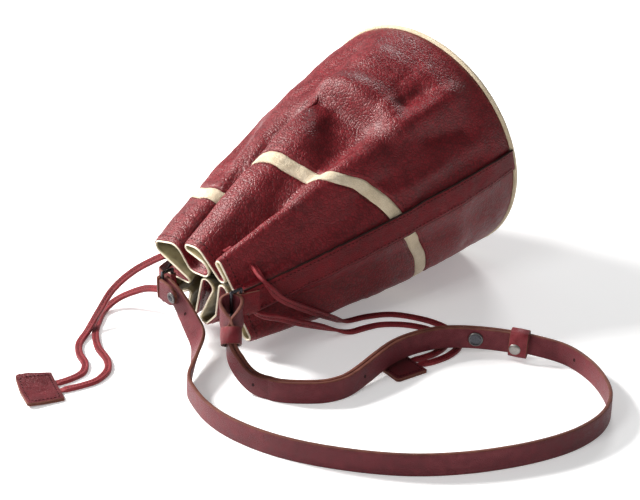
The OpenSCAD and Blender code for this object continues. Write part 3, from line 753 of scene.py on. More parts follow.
MOUTH_STITCH_ROW = 4
stitches("mouth_stitches", [(OUTER_WALL[MOUTH_STITCH_ROW], NORMAL[MOUTH_STITCH_ROW])], "bag",
         length=2.3, gap=1.3, radius=0.38)
stitches("stripe_stitches",
         [((OUTER_WALL[row] * 0.5 + OUTER_WALL[row + 1] * 0.5)[cols], NORMAL[row][cols])
          for cols in (FRONT, BACK) for row in (STRIPE_TOP - 1, STRIPE_END + 1)],
         "bag", length=1.8, gap=1.4, radius=0.22)


# ------------------------------------------------------------------ strips over the side seams
STRIP_OUT, STRIP_IN = 2.75, 1.28        # faces of a strip, off the sculpted surface


def side_strip(side, fold, lift_of):
    """A strip from one fold to the next; lift_of gives its rise for positions -1..1 across."""
    name = f"side_strip_{side}_leather"
    cols = cols_between(FOLD_MID[fold], FOLD_MID[fold + 1])
    across = np.linspace(-1, 1, len(cols))
    lift = lift_of(across)
    pared = np.where(np.abs(across) > 0.995, 0.35, 0.0)
    surface, normal = SURF[:, cols], NORMAL[:, cols]
    outer = surface + normal * (STRIP_OUT + lift - pared)[:, None]
    inner = surface + normal * (STRIP_IN + lift)[:, None]
    ob = slab(name, outer, inner, [STRIP, STRIP_EDGE_AND_SHADE, INSIDE])
    assign(ob, "bag", f"side_strip_{side}")
    # dark beads along both edges of the strip: the raw edge colour with painted shade under the
    # raised lip
    for tag, k, radius in (("upper", 0, 0.95), ("lower", len(cols) - 1, 0.6)):
        path = outer[:, k] * 0.6 + inner[:, k] * 0.4
        edge_shade_bead = sweep(f"{name}_{tag}_edge", path, normal[:, k],
                     np.cross(tangents(path), normal[:, k]),
                     circle(10) * radius * np.array([1.05, 1.0]), [STRIP_EDGE_AND_SHADE])
        assign(edge_shade_bead, "bag")
    lines = [int(round(share * (len(cols) - 1))) for share in (0.11, 0.89)]
    stitches(name + "_stitches", [(outer[2:-1, k], normal[2:-1, k]) for k in lines], "bag",
             length=2.4, gap=1.3, radius=0.34)


side_strip("right", RIGHT_FOLD, lambda u: 1.1 * (np.maximum(0.0, -u - 0.4) / 0.6) ** 2)
side_strip("left", LEFT_FOLD, lambda u: 0.35 * np.maximum(0.0, np.abs(u) - 0.6) / 0.4)

# ------------------------------------------------------------------ round base and piping
BASE_PROFILE = [(0, -1.3), (104.6, -1.3), (105.0, -1.0), (104.9, -0.3), (103.6, 0.0),
                (60, 0.25), (0, 0.3)]
BASE_STITCH_R = 101.2
ob = lathe("base_leather", (BASE_C, RIGHT, UP, AXIS), BASE_PROFILE, [RED], count=144)
assign(ob, "bag", "base_panel")
stitch_line = np.array([
    BASE_C + (RIGHT * math.cos(t) + UP * math.sin(t)) * BASE_STITCH_R + AXIS * 0.03
    for t in np.radians(np.arange(0, 361, 3))])
stitches("base_stitches", [(stitch_line, np.tile(AXIS, (len(stitch_line), 1)))], "bag",
         length=2.3, gap=1.3, radius=0.36)


def piping():
    """The cream roll round the base, of slightly uneven thickness."""
    count, sides = 220, 20
    verts = []
    for c, s in circle(count):
        radius = (PIPE_R - 0.03) * (1 + 0.03 * noise.noise((c * 9, s * 9, 5.0)))
        for across, along in circle(sides):
            verts.append(BASE_C + (RIGHT * c + UP * s) * (BASE_R - PIPE_R + radius * across)
                         + AXIS * (radius * along - PIPE_SHIFT))
    ob = mesh_obj("base_piping_roll", verts, quads(0, count, sides, closed=True), [CREAM])
    assign(ob, "bag", "base_piping")


piping()


# ------------------------------------------------------------------ paths of ribbons
def spline(points, steps):
    """A Catmull-Rom curve through the points."""
    points = np.array(points, float)
    last = len(points) - 1
    out = []
    for i in range(last):
        p0, p1, p2 = points[max(i - 1, 0)], points[i], points[i + 1]
        p3 = points[min(i + 2, last)]
        for k in range(steps):
            t = k / steps
            out.append(0.5 * (2 * p1 + (p2 - p0) * t + (2 * p0 - 5 * p1 + 4 * p2 - p3) * t * t
                              + (3 * p1 - p0 - 3 * p2 + p3) * t ** 3))
    out.append(points[-1])
    return np.array(out)


def ribbon_frame(path):
    """Tangent, width direction and face direction along a path of (x, y, z, roll); at roll 0
    the ribbon stands on its edge."""
    tangent = tangents(path[:, :3])
    flat = np.cross(tangent, [0, 0, 1.0])
    flat /= np.maximum(np.linalg.norm(flat, axis=1, keepdims=True), 1e-9)
    upright = np.cross(flat, tangent)
    roll = np.radians(path[:, 3])[:, None]
    width = upright * np.cos(roll) + flat * np.sin(roll)
    return tangent, width, np.cross(tangent, width)


def aside(path, distance):
    """The path moved along its face direction."""
    moved = path.copy()
    moved[:, :3] += ribbon_frame(path)[2] * np.reshape(distance, (-1, 1))
    return moved


def spot(path, i, side=1, lift=0.0, along=0.0, across=0.0):
    """A place on a ribbon at station i: centre, tangent, width direction, outward axis."""
    tangent, width, face = (d[i] for d in ribbon_frame(path))
    outward = face * side
    center = path[i, :3] + tangent * along + width * across + outward * lift
    return center, tangent, width, outward


# ------------------------------------------------------------------ strap path
STRAP_W, STRAP_T = 18.0, 3.0
LAYER_GAP = 0.5
HALF = (STRAP_T + LAYER_GAP) / 2        # from the middle of the doubled strap to one layer
FLAT_Z = STRAP_W / 2 + 0.15             # height of the strap's middle when it stands on the floor
RIGHT_PIN = np.array([51, -285.7, 57.0])
LEFT_PIN = np.array([-34, -283.0, 45.0])
LINK = np.array([52, -9, 0.0])          # from each pin to where the strap bends into the loop
right_link, left_link = RIGHT_PIN + LINK, LEFT_PIN + LINK

# Right end: x and y from the right pin, height, roll
RIGHT_END = [(11, -11, 48, 0), (16, -16, 38.5, 0), (21, -18.4, 27.5, 14),
             (28, -17, 17.5, 17), (36.5, -14.4, 11.2, 8), (43, -12.8, FLAT_Z, 2)]
# The loop on edge on the floor: x, y, rise above FLAT_Z
LOOP = [
    (114, -290, 0), (125, -281, 0), (136, -269, 0), (141.5, -254, 0), (142.5, -237, 2),
    (141, -214, 5.2), (139, -191, 6), (143, -168, 6), (153, -147, 6), (172, -130, 6),
    (196, -116.5, 6), (216, -107, 4.5), (237, -99, 2), (259, -102, 0), (282, -115, 0),
    (302, -134, 0), (313, -160, 0), (313, -190, 0), (305, -218, 0), (292, -245, 0),
    (273, -274, 0), (248, -301, 0), (217, -323, 0), (182, -341, 0), (149, -351, 0),
    (117, -354, 0), (91, -350.5, 0), (70, -343, 0)]
# The loop's end, rising towards the left pin: x, y, z, roll
LOOP_END = [(56, -336, FLAT_Z, 2), (46.5, -327, FLAT_Z + 0.6, 6), (38.8, -316.5, 12, 14),
            (28, -303, 15.2, 27)]
# Left end, round the left pin: offset from the pin in x, y and z, roll
LEFT_END = [(41, -5.4, -19, 30), (30, -2.2, -12, 20), (18, 0.4, -5, 8), (8, 2, -0.8, 0),
            (0.5, 3.4, 0, 0), (-2.6, 2.3, 0, 0), (-3.5, 0, 0, 0), (-2.6, -2.4, 0, 0),
            (-0.6, -3.5, 0, 0)]

right_stations = [(RIGHT_PIN[0] + x, RIGHT_PIN[1] + y, z, roll) for x, y, z, roll in RIGHT_END]
right_stations.append((right_link[0] - 1.8, right_link[1], FLAT_Z, 0))
loop_stations = [(right_link[0] + 1.8, right_link[1], FLAT_Z, 0)]
loop_stations += [(x, y, FLAT_Z + rise, 0) for x, y, rise in LOOP] + LOOP_END
loop_stations.append((left_link[0] + 1.8, left_link[1] - 1.6, 18.2, 36))
left_stations = [(left_link[0] - 1.8, left_link[1] + 1.6, 19.4, 36)]
left_stations += [(*(LEFT_PIN + offset), roll) for *offset, roll in LEFT_END]
STEPS = 9                               # curve points between stations


def soften(path, passes):
    path = path.copy()
    for _ in range(passes):
        path[1:-1] = (path[:-2] + 2 * path[1:-1] + path[2:]) / 4
    return path


def strap_path():
    """The strap's middle line: smoothed more where it bends, kept as measured at its ends."""
    raw = spline(right_stations + loop_stations + left_stations, STEPS)
    count = len(raw)
    k = np.arange(count)
    path = soften(raw, 8)
    soft = soften(path, 102)
    bends = np.exp(-((k - 36) / 22.0) ** 4) + np.exp(-((k - (count - 88)) / 24.0) ** 4)
    path = path + (soft - path) * np.clip(bends, 0, 1)[:, None]
    hold = np.clip(1 - k / 10.0, 0, 1) + np.clip((62 - (count - 1 - k)) / 16.0, 0, 1)
    path = path + (raw - path) * np.clip(hold, 0, 1)[:, None]
    first = len(right_stations)
    on_floor = (k > (first - 2) * STEPS) & (k < (first + 30) * STEPS)
    path[on_floor, 2] = np.maximum(path[on_floor, 2], FLAT_Z)
    return path


MIDDLE = strap_path()
middle_length = np.concatenate(
    [[0], np.cumsum(np.linalg.norm(np.diff(MIDDLE[:, :3], axis=0), axis=1))])


def index_from(i, distance):
    """The station nearest to a distance along the strap from station i."""
    return int(np.argmin(np.abs(middle_length - (middle_length[i] + distance))))


def index_at(x, y):
    return int(np.argmin(np.linalg.norm(MIDDLE[:, :2] - np.array((x, y)), axis=1)))


LOOP_START = len(right_stations) * STEPS
right_middle = (len(right_stations) - 1) * STEPS + STEPS // 2
left_middle = (len(right_stations) + len(loop_stations) - 1) * STEPS + STEPS // 2
RIGHT_BEND = index_from(right_middle, -14), index_from(right_middle, 14)
LEFT_BEND = index_from(left_middle, -13), index_from(left_middle, 13)
KEEPER_AT = LOOP_START + 102
SNAP_AT = LOOP_START + 90
TAIL_END = index_from(KEEPER_AT, 6.3)
SINGLE_FROM = LOOP_START + 207          # here the inner layer starts to move to the middle
to_single = np.clip((np.arange(len(MIDDLE)) - SINGLE_FROM) / 90.0, 0, 1)
INNER = aside(MIDDLE, -HALF * (1 - to_single))
OUTER = aside(MIDDLE, HALF)


# ------------------------------------------------------------------ strap leather
def strap_profile():
    """Corners eased, faces a little proud; the two narrow sides are painted edges."""
    h, q = STRAP_W / 2, (STRAP_T - 0.1) / 2
    edge = [(h - 0.55, -q), (h - 0.2, -q + 0.12), (h, -q + 0.5), (h + 0.06, 0),
            (h, q - 0.5), (h - 0.2, q - 0.12), (h - 0.55, q)]
    face = [(h * f, q + 0.10 * (1 - f * f)) for f in (0.6, 0.2, -0.2, -0.6)]
    half = edge + face
    return np.array(half + [(-a, -b) for a, b in half]), ([1] * 6 + [0] * 5) * 2


STRAP_PROFILE, STRAP_SIDES = strap_profile()


def ribbon(name, path, first, end):
    """Strap leather along path[first:end]."""
    _, width, face = ribbon_frame(path)
    cut = slice(first, end)
    return sweep(name, path[cut, :3], width[cut], face[cut], STRAP_PROFILE, [STRAP, BROWN],
                 STRAP_SIDES)


def bend_piece(name, path, bend):
    ob = ribbon(name, path, bend[0], bend[1] + 1)
    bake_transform(ob)


def teardrop():
    """The strap's way round the right ring's pin, from the inner to the outer layer."""
    start = MIDDLE[0, :3]
    ahead = RIGHT_PIN - start
    distance = np.linalg.norm(ahead)
    reach = distance + 1.4 + 1 + STRAP_T / 2
    ahead = ahead / distance
    sideways = np.cross(ahead, [0, 0, 1.0])
    sideways /= np.linalg.norm(sideways)
    count = 40
    out = []
    for k in range(1, count):
        f = 2 * math.pi * k / count
        share = (1 - math.cos(f)) / 2
        swing = HALF * math.cos(f / 2) + 8.5 * math.sin(f) * math.sqrt(share)
        out.append([*(start + ahead * reach * share + sideways * swing), 0])
    return out


going = [[x, y, z, -roll] for x, y, z, roll in INNER[RIGHT_BEND[0] + 1::-1]]
right_end = np.concatenate([going, teardrop(), OUTER[:RIGHT_BEND[0] + 2]])
ob = ribbon("strap_right_end_leather", right_end, 1, len(right_end) - 1)
assign(ob, "strap_right", "strap_right_end")
bend_piece("strap_bend_right_inner", INNER, RIGHT_BEND)
bend_piece("strap_bend_right_outer", OUTER, RIGHT_BEND)
ob = ribbon("strap_loop_leather", INNER, RIGHT_BEND[1], LEFT_BEND[0] + 1)
assign(ob, "strap_loop", "strap_loop_main")
ob = ribbon("strap_tail_leather", OUTER, RIGHT_BEND[1], TAIL_END + 1)
assign(ob, "strap_loop", "strap_loop_tail")
bend_piece("strap_bend_left", INNER, LEFT_BEND)
ob = ribbon("strap_left_end_leather", INNER, LEFT_BEND[1], len(INNER))
assign(ob, "strap_left", "strap_left_end")

# the short flap that continues from the left end, with a rounded tip
FLAP_START = LEFT_PIN + np.array([1.6, -3.6, 0])
FLAP = spline([(FLAP_START[0] + 5.2 * k, FLAP_START[1] - 0.8 * k + 0.05 * k * k,
                FLAP_START[2] - 0.3 * k, k * 0.6) for k in range(5)], 8)
TIP_FROM = 0.55                         # share of the flap's length where the tip begins
shares = np.arange(len(FLAP)) / (len(FLAP) - 1)
tip = np.sqrt(np.maximum(0.02, 1 - ((shares - TIP_FROM) / 0.47) ** 2))
narrowing = np.where(shares < TIP_FROM, 1.0, tip)[:, None]
_, flap_width, flap_face = ribbon_frame(FLAP)
ob = sweep("strap_flap_leather", FLAP[:, :3], flap_width * narrowing, flap_face,
           STRAP_PROFILE, [STRAP, BROWN], STRAP_SIDES)
assign(ob, "strap_flap", "strap_left_flap")

# ------------------------------------------------------------------ fittings on the strap
# a punched hole: a dark sunk eye of painted shade with a pressed rim, as (radius, height)
HOLE_PROFILE = [(0, 0.13), (1.0, 0.13), (1.15, 0.2), (1.35, 0.2), (1.5, 0.06)]


def holes(name, *places):
    """Holes longer across the strap than along it; places are (path, station, side)."""
    oval = []
    for path, i, side in places:
        center, along, across, outward = spot(path, i, side, lift=STRAP_T / 2)
        oval.append((center, along * 0.8, across * 1.1, outward))
    verts, faces, _ = turned(oval, HOLE_PROFILE, 20)
    # the hole's eye and rim take the dark thread material; the eye is painted shade
    return mesh_obj(name, verts, faces, [THREAD_AND_HOLE_SHADE])


hole_at = index_at(89, -296)
ob = holes("strap_hole_right", (OUTER, hole_at, 1))
if RIGHT_BEND[0] <= hole_at <= RIGHT_BEND[1]:
    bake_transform(ob)
else:
    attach(ob, "strap_right" if hole_at < RIGHT_BEND[0] else "strap_loop")
ob = holes("strap_holes_loop", (OUTER, index_at(141, -235), 1),
           (INNER, index_at(232, -101) + 6, 1))
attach(ob, "strap_loop")
ob = holes("strap_hole_left", (INNER, LEFT_BEND[1] + 9, -1))
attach(ob, "strap_left")

# profiles of (radius, height), with the material of each segment where a rim differs
SNAP_CAP = [(0, 0.55), (3.0, 0.6), (4.5, 0.72), (5.0, 1.15), (5.5, 1.2), (5.95, 0.8),
            (6.0, -0.35), (0, -0.35)]
SNAP_CAP_MATS = [0, 0, 0, 1, 1, 1, 0]
SNAP_STUD = [(0, 1.6), (1.6, 1.6), (2.0, 1.2), (1.9, 0.7), (4.4, 0.6), (4.5, 0.0), (0, 0.0)]
FLAP_CAP = [(0, 0.9), (2.2, 0.85), (2.8, 1.0), (3.3, 1.2), (4.1, 1.1), (4.6, 0.6),
            (4.7, -0.1), (0, -0.1)]
FLAP_CAP_MATS = [0, 0, 1, 1, 1, 1, 0]
RIVET = [(0, 1.3), (1.6, 1.22), (3.2, 0.95), (4.3, 0.5), (4.8, 0.0), (4.7, -0.25), (0, -0.25)]


def disc(name, place, profile, mats, body, node=None, segment_mats=None):
    assign(lathe(name, place, profile, mats, 40, segment_mats), body, node)


disc("strap_snap_cap_metal", spot(OUTER, SNAP_AT, lift=STRAP_T / 2 + 0.25), SNAP_CAP,
     [GUN, RIM], "strap_loop", "strap_snap_cap", SNAP_CAP_MATS)
disc("strap_snap_stud_metal", spot(INNER, SNAP_AT, side=-1, lift=STRAP_T / 2), SNAP_STUD,
     [GUN], "strap_loop", "strap_snap_stud")
disc("flap_snap_cap_metal", spot(FLAP, 26, lift=STRAP_T / 2 + 0.05), FLAP_CAP,
     [GUN, RIM], "strap_flap", "flap_snap_cap", FLAP_CAP_MATS)

KEEPER_WALL = 1.7


def keeper(body, i, half_width, half_depth, length, power):
    """A leather band round the strap: a soft oblong with rounded, painted rims. A higher
    power makes it squarer."""
    center, along, across, face = spot(MIDDLE, i)
    end, wall = length / 2, KEEPER_WALL
    profile = [(0, 0.4 - end), (0.35, -end), (wall - 0.35, -end), (wall, 0.4 - end),
               (wall + 0.22, 0), (wall, end - 0.4), (wall - 0.35, end), (0.35, end),
               (0, end - 0.4)]
    profile_mats = [1, 1, 1, 0, 0, 1, 1, 1, 2]
    count = 72
    verts = []
    for k in range(count):
        turn = 2 * math.pi * k / count
        c, s = math.cos(turn), math.sin(turn)
        x = math.copysign(abs(c) ** (2 / power), c) * half_width
        y = math.copysign(abs(s) ** (2 / power), s) * half_depth
        nx = math.copysign(abs(x / half_width) ** (power - 1), x) / half_width
        ny = math.copysign(abs(y / half_depth) ** (power - 1), y) / half_depth
        size = math.hypot(nx, ny)
        for out, shift in profile:
            verts.append(center + across * (x + nx / size * out)
                         + face * (y + ny / size * out) + along * shift)
    ob = mesh_obj(f"{body}_leather", verts,
                  quads(0, count, len(profile), closed=True, flip=True),
                  [KEEPER, BROWN, INSIDE], profile_mats * count)
    assign(ob, body, f"strap_{body}")


keeper("small_keeper", STEPS - 3, half_width=10.1, half_depth=6.6, length=13.5, power=2.4)
keeper("riveted_keeper", KEEPER_AT, half_width=9.9, half_depth=4.5, length=15, power=5.0)
disc("keeper_rivet_metal", spot(MIDDLE, KEEPER_AT, lift=6.25, along=-2.2, across=-3.4), RIVET,
     [NICKEL], "riveted_keeper", "keeper_rivet")

# ------------------------------------------------------------------ laces
LACE_T = 3.0
LACE_Z = LACE_T / 2 + 0.2               # height of a lace's middle when it lies on the floor
# Half of the doubled lace's section, as (across, thickness); the other half mirrors it
HALF_LACE = [(-3.0, -0.5), (-2.9, -1.2), (-2.3, -1.5), (-1.4, -1.5), (-0.7, -1.35), (0, -1.1),
             (0.7, -1.35), (1.4, -1.5), (2.3, -1.5), (2.9, -1.2), (3.0, -0.5)]
LACE_PROFILE = np.array(HALF_LACE + [(-a, -b) for a, b in HALF_LACE])


def on_floor(*points):
    return [(x, y, LACE_Z, 90) for x, y in points]


# Stations of (x, y, z, roll) from the wall to the tab; on the floor the laces lie flat
LACES = {
    "right": (
        [(46, -256, 78.5, 70), (56, -258, 75, 60), (63.5, -255, 67, 40), (66, -247, 56.5, 20),
         (67, -232, 45, 15), (66, -206, 28, 20), (64, -185, 14.5, 50),
         (61, -166, LACE_Z + 1.4, 80)]
        + on_floor((67, -145), (80, -127), (104, -116), (126, -114), (145, -120),
                   (157, -133), (160.5, -150), (158, -166), (154.3, -174.8)),
        [(57, -263.5, 43.5, 20), (60.8, -257, 42, 20), (64.2, -245, 37, 20),
         (67, -226, 26.5, 20), (69, -206, 16.5, 35), (71.5, -190, 8, 70)]
        + on_floor((76, -174), (84, -150), (100, -134), (120, -126.5), (137, -129),
                   (147.5, -139), (150, -154), (148, -166), (145.5, -173))),
    "left": (
        [(-44, -253, 62, 40), (-56, -262, 59, 40), (-78, -276, 43, 40), (-89, -292, 27, 60),
         (-87, -310, 13, 80), (-81, -327, 4, 90)]
        + on_floor((-72, -343), (-58, -354), (-42, -361), (-32, -371), (-30.5, -383),
                   (-32.5, -394.2)),
        [(-51, -258.5, 25, 30), (-62, -260.5, 25, 40), (-82, -265, 20, 50),
         (-101, -276, 9, 70), (-102, -292, 3, 90)]
        + on_floor((-90, -309), (-75, -324), (-55, -337), (-34, -345), (-20, -356),
                   (-14, -371), (-16, -384), (-20.5, -397.2)))}


def into_wall(stations):
    """Starts a lace inside the wall, through the nearest point of the leather."""
    start = np.array(stations[0][:3], float)
    distance = np.linalg.norm(OUTER_WALL - start, axis=2)
    row, col = np.unravel_index(np.argmin(distance), distance.shape)
    normal, hole = NORMAL[row, col], OUTER_WALL[row, col]
    roll = stations[0][3]
    toward = (np.array(stations[1][:3]) - start) * 0.10
    return [(*(hole - normal * 3.5), roll), (*(hole + normal * 2.6 + toward), roll),
            *stations[1:]]


def lace(side):
    """Both halves of a lace in one mesh, stitched on both faces."""
    verts, faces, runs = [], [], []
    for stations in LACES[side]:
        path = spline(into_wall(stations), 8)
        path[:, 2] = np.maximum(path[:, 2], LACE_Z - 0.15)
        _, width, face = ribbon_frame(path)
        uneven = np.array([1 + 0.04 * noise.noise((i * 0.35, 1.0, 4.0))
                           for i in range(len(path))])
        add_sweep(verts, faces, path[:, :3], width * uneven[:, None], face, LACE_PROFILE)
        runs += [(path[:, :3] + face * sign * 1.12, face * sign) for sign in (1, -1)]
    body, name = f"lace_{side}", f"lace_{side}_leather"
    assign(mesh_obj(name, verts, faces, [LACE]), body, body)
    stitches(name + "_stitches", runs, body, length=1.7, gap=0.9, radius=0.28)


lace("right")
lace("left")

GATHER_ROW = 9


def gather(side, run_pairs):
    """Short lace pieces that bridge the folds, out of one run of the wall and into another."""
    verts, faces = [], []
    for first, second in run_pairs:
        c0, c1 = RUN_MID[first], RUN_MID[second]
        p, q = OUTER_WALL[GATHER_ROW, c0], OUTER_WALL[GATHER_ROW, c1]
        n0, n1 = NORMAL[GATHER_ROW, c0], NORMAL[GATHER_ROW, c1]
        normal = (n0 + n1) / np.linalg.norm(n0 + n1)
        span = q - p
        path = spline([p - n0 - span * 0.05, p + n0 * 2.0 + span * 0.12,
                       (p + q) / 2 + normal * 2.8, q + n1 * 2.0 - span * 0.12,
                       q - n1 + span * 0.05], 8)
        tangent = tangents(path)
        width = AXIS - tangent * np.sum(AXIS * tangent, axis=1, keepdims=True)
        width /= np.linalg.norm(width, axis=1, keepdims=True)
        add_sweep(verts, faces, path, width, np.cross(tangent, width) * 0.8, LACE_PROFILE)
    ob = mesh_obj(f"gather_lace_{side}_leather", verts, faces, [LACE])
    assign(ob, "bag", f"gather_lace_{side}")


gather("right", [(5, 6), (12, 13)])
gather("left", [(1, 3), (15, 16)])

# ------------------------------------------------------------------ pull tabs
TAB_AT = {"right": (146, -175), "left": (-26, -397.3)}
TAB_HALF_W = 19.4
TAB_Y0, TAB_Y1 = 2.0, 31.0              # extent along the tab, from its lace end
TAB_MID = (TAB_Y0 + TAB_Y1) / 2
TAB_R, TAB_LACE_R = 3.0, 1.2            # corner radii, at the far end and at the lace end
# Layers: name, underside, top, puff at the middle of the top face, groove under the stitches
TAB_LAYERS = [("back", 0.12, 1.62, 0.0, 0.0), ("front", 1.66, 3.15, 1.0, 0.22)]
FACE_RINGS = (0.86, 0.72, 0.5, 0.25)    # shrinking rings that fill the faces


def tab_border(inset):
    """The tab's rounded outline, with extra points along its straight sides."""
    w, corners = TAB_HALF_W, []
    for cx, cy, start, radius in (
            (w - TAB_R, TAB_Y1 - TAB_R, 0, TAB_R), (-w + TAB_R, TAB_Y1 - TAB_R, 90, TAB_R),
            (-w + TAB_LACE_R, TAB_Y0 + TAB_LACE_R, 180, TAB_LACE_R),
            (w - TAB_LACE_R, TAB_Y0 + TAB_LACE_R, 270, TAB_LACE_R)):
        for k in range(7):
            a = math.radians(start + 15 * k)
            corners.append((cx + (radius - inset) * math.cos(a),
                            cy + (radius - inset) * math.sin(a)))
    out = []
    for i, (x, y) in enumerate(corners):
        x1, y1 = corners[(i + 1) % len(corners)]
        parts = 9 if i % 7 == 6 else 1
        out += [(x + (x1 - x) * k / parts, y + (y1 - y) * k / parts) for k in range(parts)]
    return out


def tab(side, turn, seed, warp, curl):
    """Two leathers on top of each other, with a stitched front."""
    body = f"tab_{side}"
    t = math.radians(turn)
    origin = np.array([*TAB_AT[side], 0])
    across = np.array([math.cos(t), math.sin(t), 0])
    along = np.array([-math.sin(t), math.cos(t), 0])
    upward = np.array([0, 0, 1.0])

    def wave(x, y):
        f = (y - TAB_Y0) / (TAB_Y1 - TAB_Y0)
        lift = (0.45 + 0.55 * min(1.0, 1.6 * max(0.0, f))) * (max(0.0, x - 3) / 16.5) ** 1.5
        swell = 1.3 * f * f * (0.5 + 0.5 * math.sin(x * 0.14 + seed))
        uneven = 0.5 * f * (noise.noise((x * 0.07, y * 0.08, seed)) + 0.6)
        return curl * lift + warp * (swell + uneven)

    def place(x, y, z):
        return origin + across * x + along * y + upward * (z + wave(x, y))

    border = tab_border(0.5)
    n = len(border)
    for layer, bottom, top, puff, groove in TAB_LAYERS:
        verts = []
        for inset, z in ((0.5, bottom), (0.0, bottom + 0.3), (0.0, top - 0.35), (0.45, top)):
            verts += [place(x, y, z) for x, y in tab_border(inset)]
        faces = quads(0, 4, n, flip=True)
        face_mats = [1] * len(faces)
        for is_top, z, start in ((False, bottom, 0), (True, top, 3 * n)):
            outer = list(range(start, start + n))
            for s in FACE_RINGS:
                rise = 0.0
                if is_top:
                    rise = 0.28 * (1 - s) * puff - (groove if s == FACE_RINGS[0] else 0)
                ring = list(range(len(verts), len(verts) + n))
                verts += [place(x * s, TAB_MID + (y - TAB_MID) * s, z + rise)
                          for x, y in border]
                for k in range(n):
                    j = (k + 1) % n
                    face = (outer[k], outer[j], ring[j], ring[k])
                    faces.append(face if is_top else face[::-1])
                outer = ring
            center = len(verts)
            verts.append(place(0, TAB_MID, z + (0.25 * puff if is_top else 0)))
            for k in range(n):
                face = (outer[k], outer[(k + 1) % n], center)
                faces.append(face if is_top else face[::-1])
        face_mats += [0] * (len(faces) - len(face_mats))
        ob = mesh_obj(f"{body}_{layer}_leather", verts, faces, [TAB, BROWN], face_mats)
        assign(ob, body, f"{body}_{layer}")

    line = [(x * 0.86, TAB_MID + (y - TAB_MID) * 0.83) for x, y in border]
    line.append(line[0])
    dense = [place(x + (x1 - x) * k / 2, y + (y1 - y) * k / 2, 3.1)
             for (x, y), (x1, y1) in zip(line, line[1:]) for k in range(2)]
    stitches(f"{body}_stitches", [(np.array(dense), np.tile(upward, (len(dense), 1)))], body,
             length=2.0, gap=1.0, radius=0.36)


tab("right", turn=167, seed=1.3, warp=0.15, curl=0.0)
tab("left", turn=158, seed=4.1, warp=1.0, curl=6.0)


def lace_ends(side, turn):
    """The ends of a lace between the two leathers of its tab, bending where the tab lifts."""
    t = math.radians(turn)
    along = np.array([-math.sin(t), math.cos(t), 0])
    verts, faces = [], []
    for stations in LACES[side]:
        lace_path = spline(stations, 8)[:, :3]
        end, ahead = lace_path[-1], tangents(lace_path)[-1]
        points = [end - ahead * 0.2, end + ahead * 1.2 + along * 0.2,
                  end + ahead * 1.6 + along * 2.4, end + ahead * 1.6 + along * 5.5]
        path = spline([(*p, 90) for p in points], 5)
        _, width, face = ribbon_frame(path)
        thinning = 0.98 - 0.55 * np.minimum(1, np.arange(len(path)) / 9)
        add_sweep(verts, faces, path[:, :3], width * 0.98, face * thinning[:, None],
                  LACE_PROFILE)
    ob = mesh_obj(f"lace_{side}_ends", verts, faces, [LACE])
    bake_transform(ob)


lace_ends("right", turn=167)
lace_ends("left", turn=165)

# ------------------------------------------------------------------ CAD pieces that stay
for node, mat in (("ring_right", GUN), ("ring_left", GUN), ("flap_snap_stud", GUN),
                  ("chape_right", STRIP), ("chape_left", STRIP), ("base_board", BROWN),
                  ("base_lining", KHAKI)):
    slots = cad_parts[node].data.materials
    slots.clear()
    slots.append(mat)

# ------------------------------------------------------------------ folded strip ends
CHAPE_H = 18
BAR_FROM_PIN = np.array([0, 10.5])      # from each pin to the ring's bar, in plan
ROLL_R = 2.4
right_bar = RIGHT_PIN[:2] + BAR_FROM_PIN
left_bar = LEFT_PIN[:2] + BAR_FROM_PIN


def roll_round(bar, start, end):
    """Plan points round a bar, between two angles."""
    turns = [math.radians(start + (end - start) * k / 12) for k in range(13)]
    return [(bar[0] + ROLL_R * math.cos(a), bar[1] + ROLL_R * math.sin(a)) for a in turns]


def chape(side, pin, plan, thickness):
    """A folded strip end: a leg and the roll round the ring's bar, with painted edges."""
    path = spline(plan, 6)
    tangent = tangents(path)
    offset = np.stack([tangent[:, 1], -tangent[:, 0]], -1) * thickness / 2
    outline = np.concatenate([path + offset, (path - offset)[::-1]])
    n, size = len(path), len(outline)
    chord = np.roll(outline, -1, 0) - np.roll(outline, 1, 0)
    chord /= np.maximum(np.linalg.norm(chord, axis=1, keepdims=True), 1e-6)
    outward = np.stack([chord[:, 1], -chord[:, 0]], -1)
    z0 = pin[2] - CHAPE_H / 2
    verts = []
    for inset, z in ((0.35, 0.0), (0.0, 0.35), (0.0, CHAPE_H - 0.35), (0.35, CHAPE_H)):
        verts += [(x, y, z0 + z) for x, y in outline - outward * inset]
    faces = quads(0, 4, size, flip=True)
    face_mats = [1] * size + [0] * size + [1] * size
    top = 3 * size
    for i in range(n - 1):
        j = size - 1 - i
        faces.append((top + i, top + i + 1, top + j - 1, top + j))
        faces.append((j, j - 1, i + 1, i))
        face_mats += [1, 1]
    ob = mesh_obj(f"chape_{side}_leather", verts, faces, [STRIP, BROWN], face_mats)
    assign(ob, "bag", f"chape_{side}")


# the right leg is straight and leans by 19 degrees
lean = math.radians(-19)
c, s = math.cos(lean), math.sin(lean)
right_leg = [(right_bar[0] + 2.45 * c - y * s, right_bar[1] + 2.45 * s + y * c)
             for y in (15.0, 10, 5, 1.2)]
# the left leg curves: points from its bar
left_leg = [(left_bar[0] + x, left_bar[1] + y) for x, y in (
    (-22.8, 19), (-20.7, 12.5), (-18.4, 5), (-15.7, -0.1), (-9.9, -2.55), (-3.5, -2.55))]
chape("right", RIGHT_PIN, right_leg + roll_round(right_bar, -30, -300)[1:], thickness=1.3)
chape("left", LEFT_PIN, left_leg + roll_round(left_bar, -100, 170), thickness=1.5)

# ------------------------------------------------------------------ floor (metres from here on)
scene = bpy.context.scene
FLOOR_HALF = 9


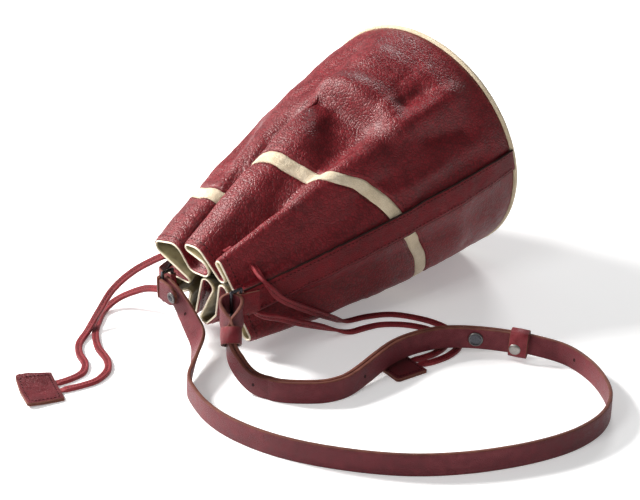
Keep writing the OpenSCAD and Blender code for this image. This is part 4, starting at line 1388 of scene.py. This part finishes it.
def make_floor():
    material, _, shader = new_material("floor")
    for key, value in (("Base Color", grey(0.93)), ("Roughness", 0.75),
                       ("Specular IOR Level", 0.15), ("Emission Color", grey(1)),
                       ("Emission Strength", 0.27)):
        shader.inputs[key].default_value = value
    mesh = bpy.data.meshes.new("floor")
    e = FLOOR_HALF
    mesh.from_pydata([(-e, -e, 0), (e, -e, 0), (e, e, 0), (-e, e, 0)], [], [(0, 1, 2, 3)])
    mesh.materials.append(material)
    floor = bpy.data.objects.new("floor", mesh)
    scene.collection.objects.link(floor)


make_floor()


# ------------------------------------------------------------------ world and lights
def make_world():
    """White to the camera, but a weaker light on the bag."""
    world = bpy.data.worlds.new("studio")
    scene.world = world
    world.use_nodes = True
    tree = world.node_tree
    link = tree.links.new
    lighting = tree.nodes["Background"]
    seen = add_node(tree, "ShaderNodeBackground")
    for node, strength in ((lighting, 0.25), (seen, 1.0)):
        node.inputs[0].default_value = (1, 1, 1, 1)
        node.inputs[1].default_value = strength
    rays = add_node(tree, "ShaderNodeLightPath")
    both = add_node(tree, "ShaderNodeMixShader")
    link(rays.outputs["Is Camera Ray"], both.inputs[0])
    link(lighting.outputs[0], both.inputs[1])
    link(seen.outputs[0], both.inputs[2])
    link(both.outputs[0], tree.nodes["World Output"].inputs["Surface"])


def area_light(name, location, target, size, power, color=(1, 1, 1)):
    light = bpy.data.lights.new(name, "AREA")
    light.shape = "DISK"
    light.size = size
    light.energy = power
    light.color = color
    ob = bpy.data.objects.new(name, light)
    ob.location = location
    toward = Vector(target) - Vector(location)
    ob.rotation_euler = toward.to_track_quat("-Z", "Y").to_euler()
    scene.collection.objects.link(ob)


make_world()
area_light("key", location=(-1.08, -0.68, 1.02), target=(0.0, -0.1, 0.05), size=0.42, power=52,
           color=(1.0, 0.985, 0.965))
area_light("rim", location=(-0.6, 1.1, 1.0), target=(0.0, -0.05, 0.1), size=0.5, power=10)
area_light("front_fill", location=(0.1, -1.6, 1.1), target=(0.05, -0.2, 0.05), size=0.6,
           power=9)


# ------------------------------------------------------------------ camera
def make_camera(target, azimuth, elevation, distance):
    """Looks at the target from the front right; azimuth is measured from -y towards +x."""
    data = bpy.data.cameras.new("camera")
    data.sensor_width = 36.0
    data.lens = 84.375
    data.clip_start = 0.05
    data.clip_end = 30
    camera = bpy.data.objects.new("camera", data)
    scene.collection.objects.link(camera)
    az, el = math.radians(azimuth), math.radians(elevation)
    back = Vector((math.sin(az) * math.cos(el), -math.cos(az) * math.cos(el), math.sin(el)))
    camera.location = Vector(target) + back * distance
    camera.rotation_euler = (-back).to_track_quat("-Z", "Y").to_euler()
    scene.camera = camera


make_camera(target=(-0.056669, -0.072853, 0.0), azimuth=43.637, elevation=25.0, distance=1.4)
scene.view_settings.view_transform = "Standard"
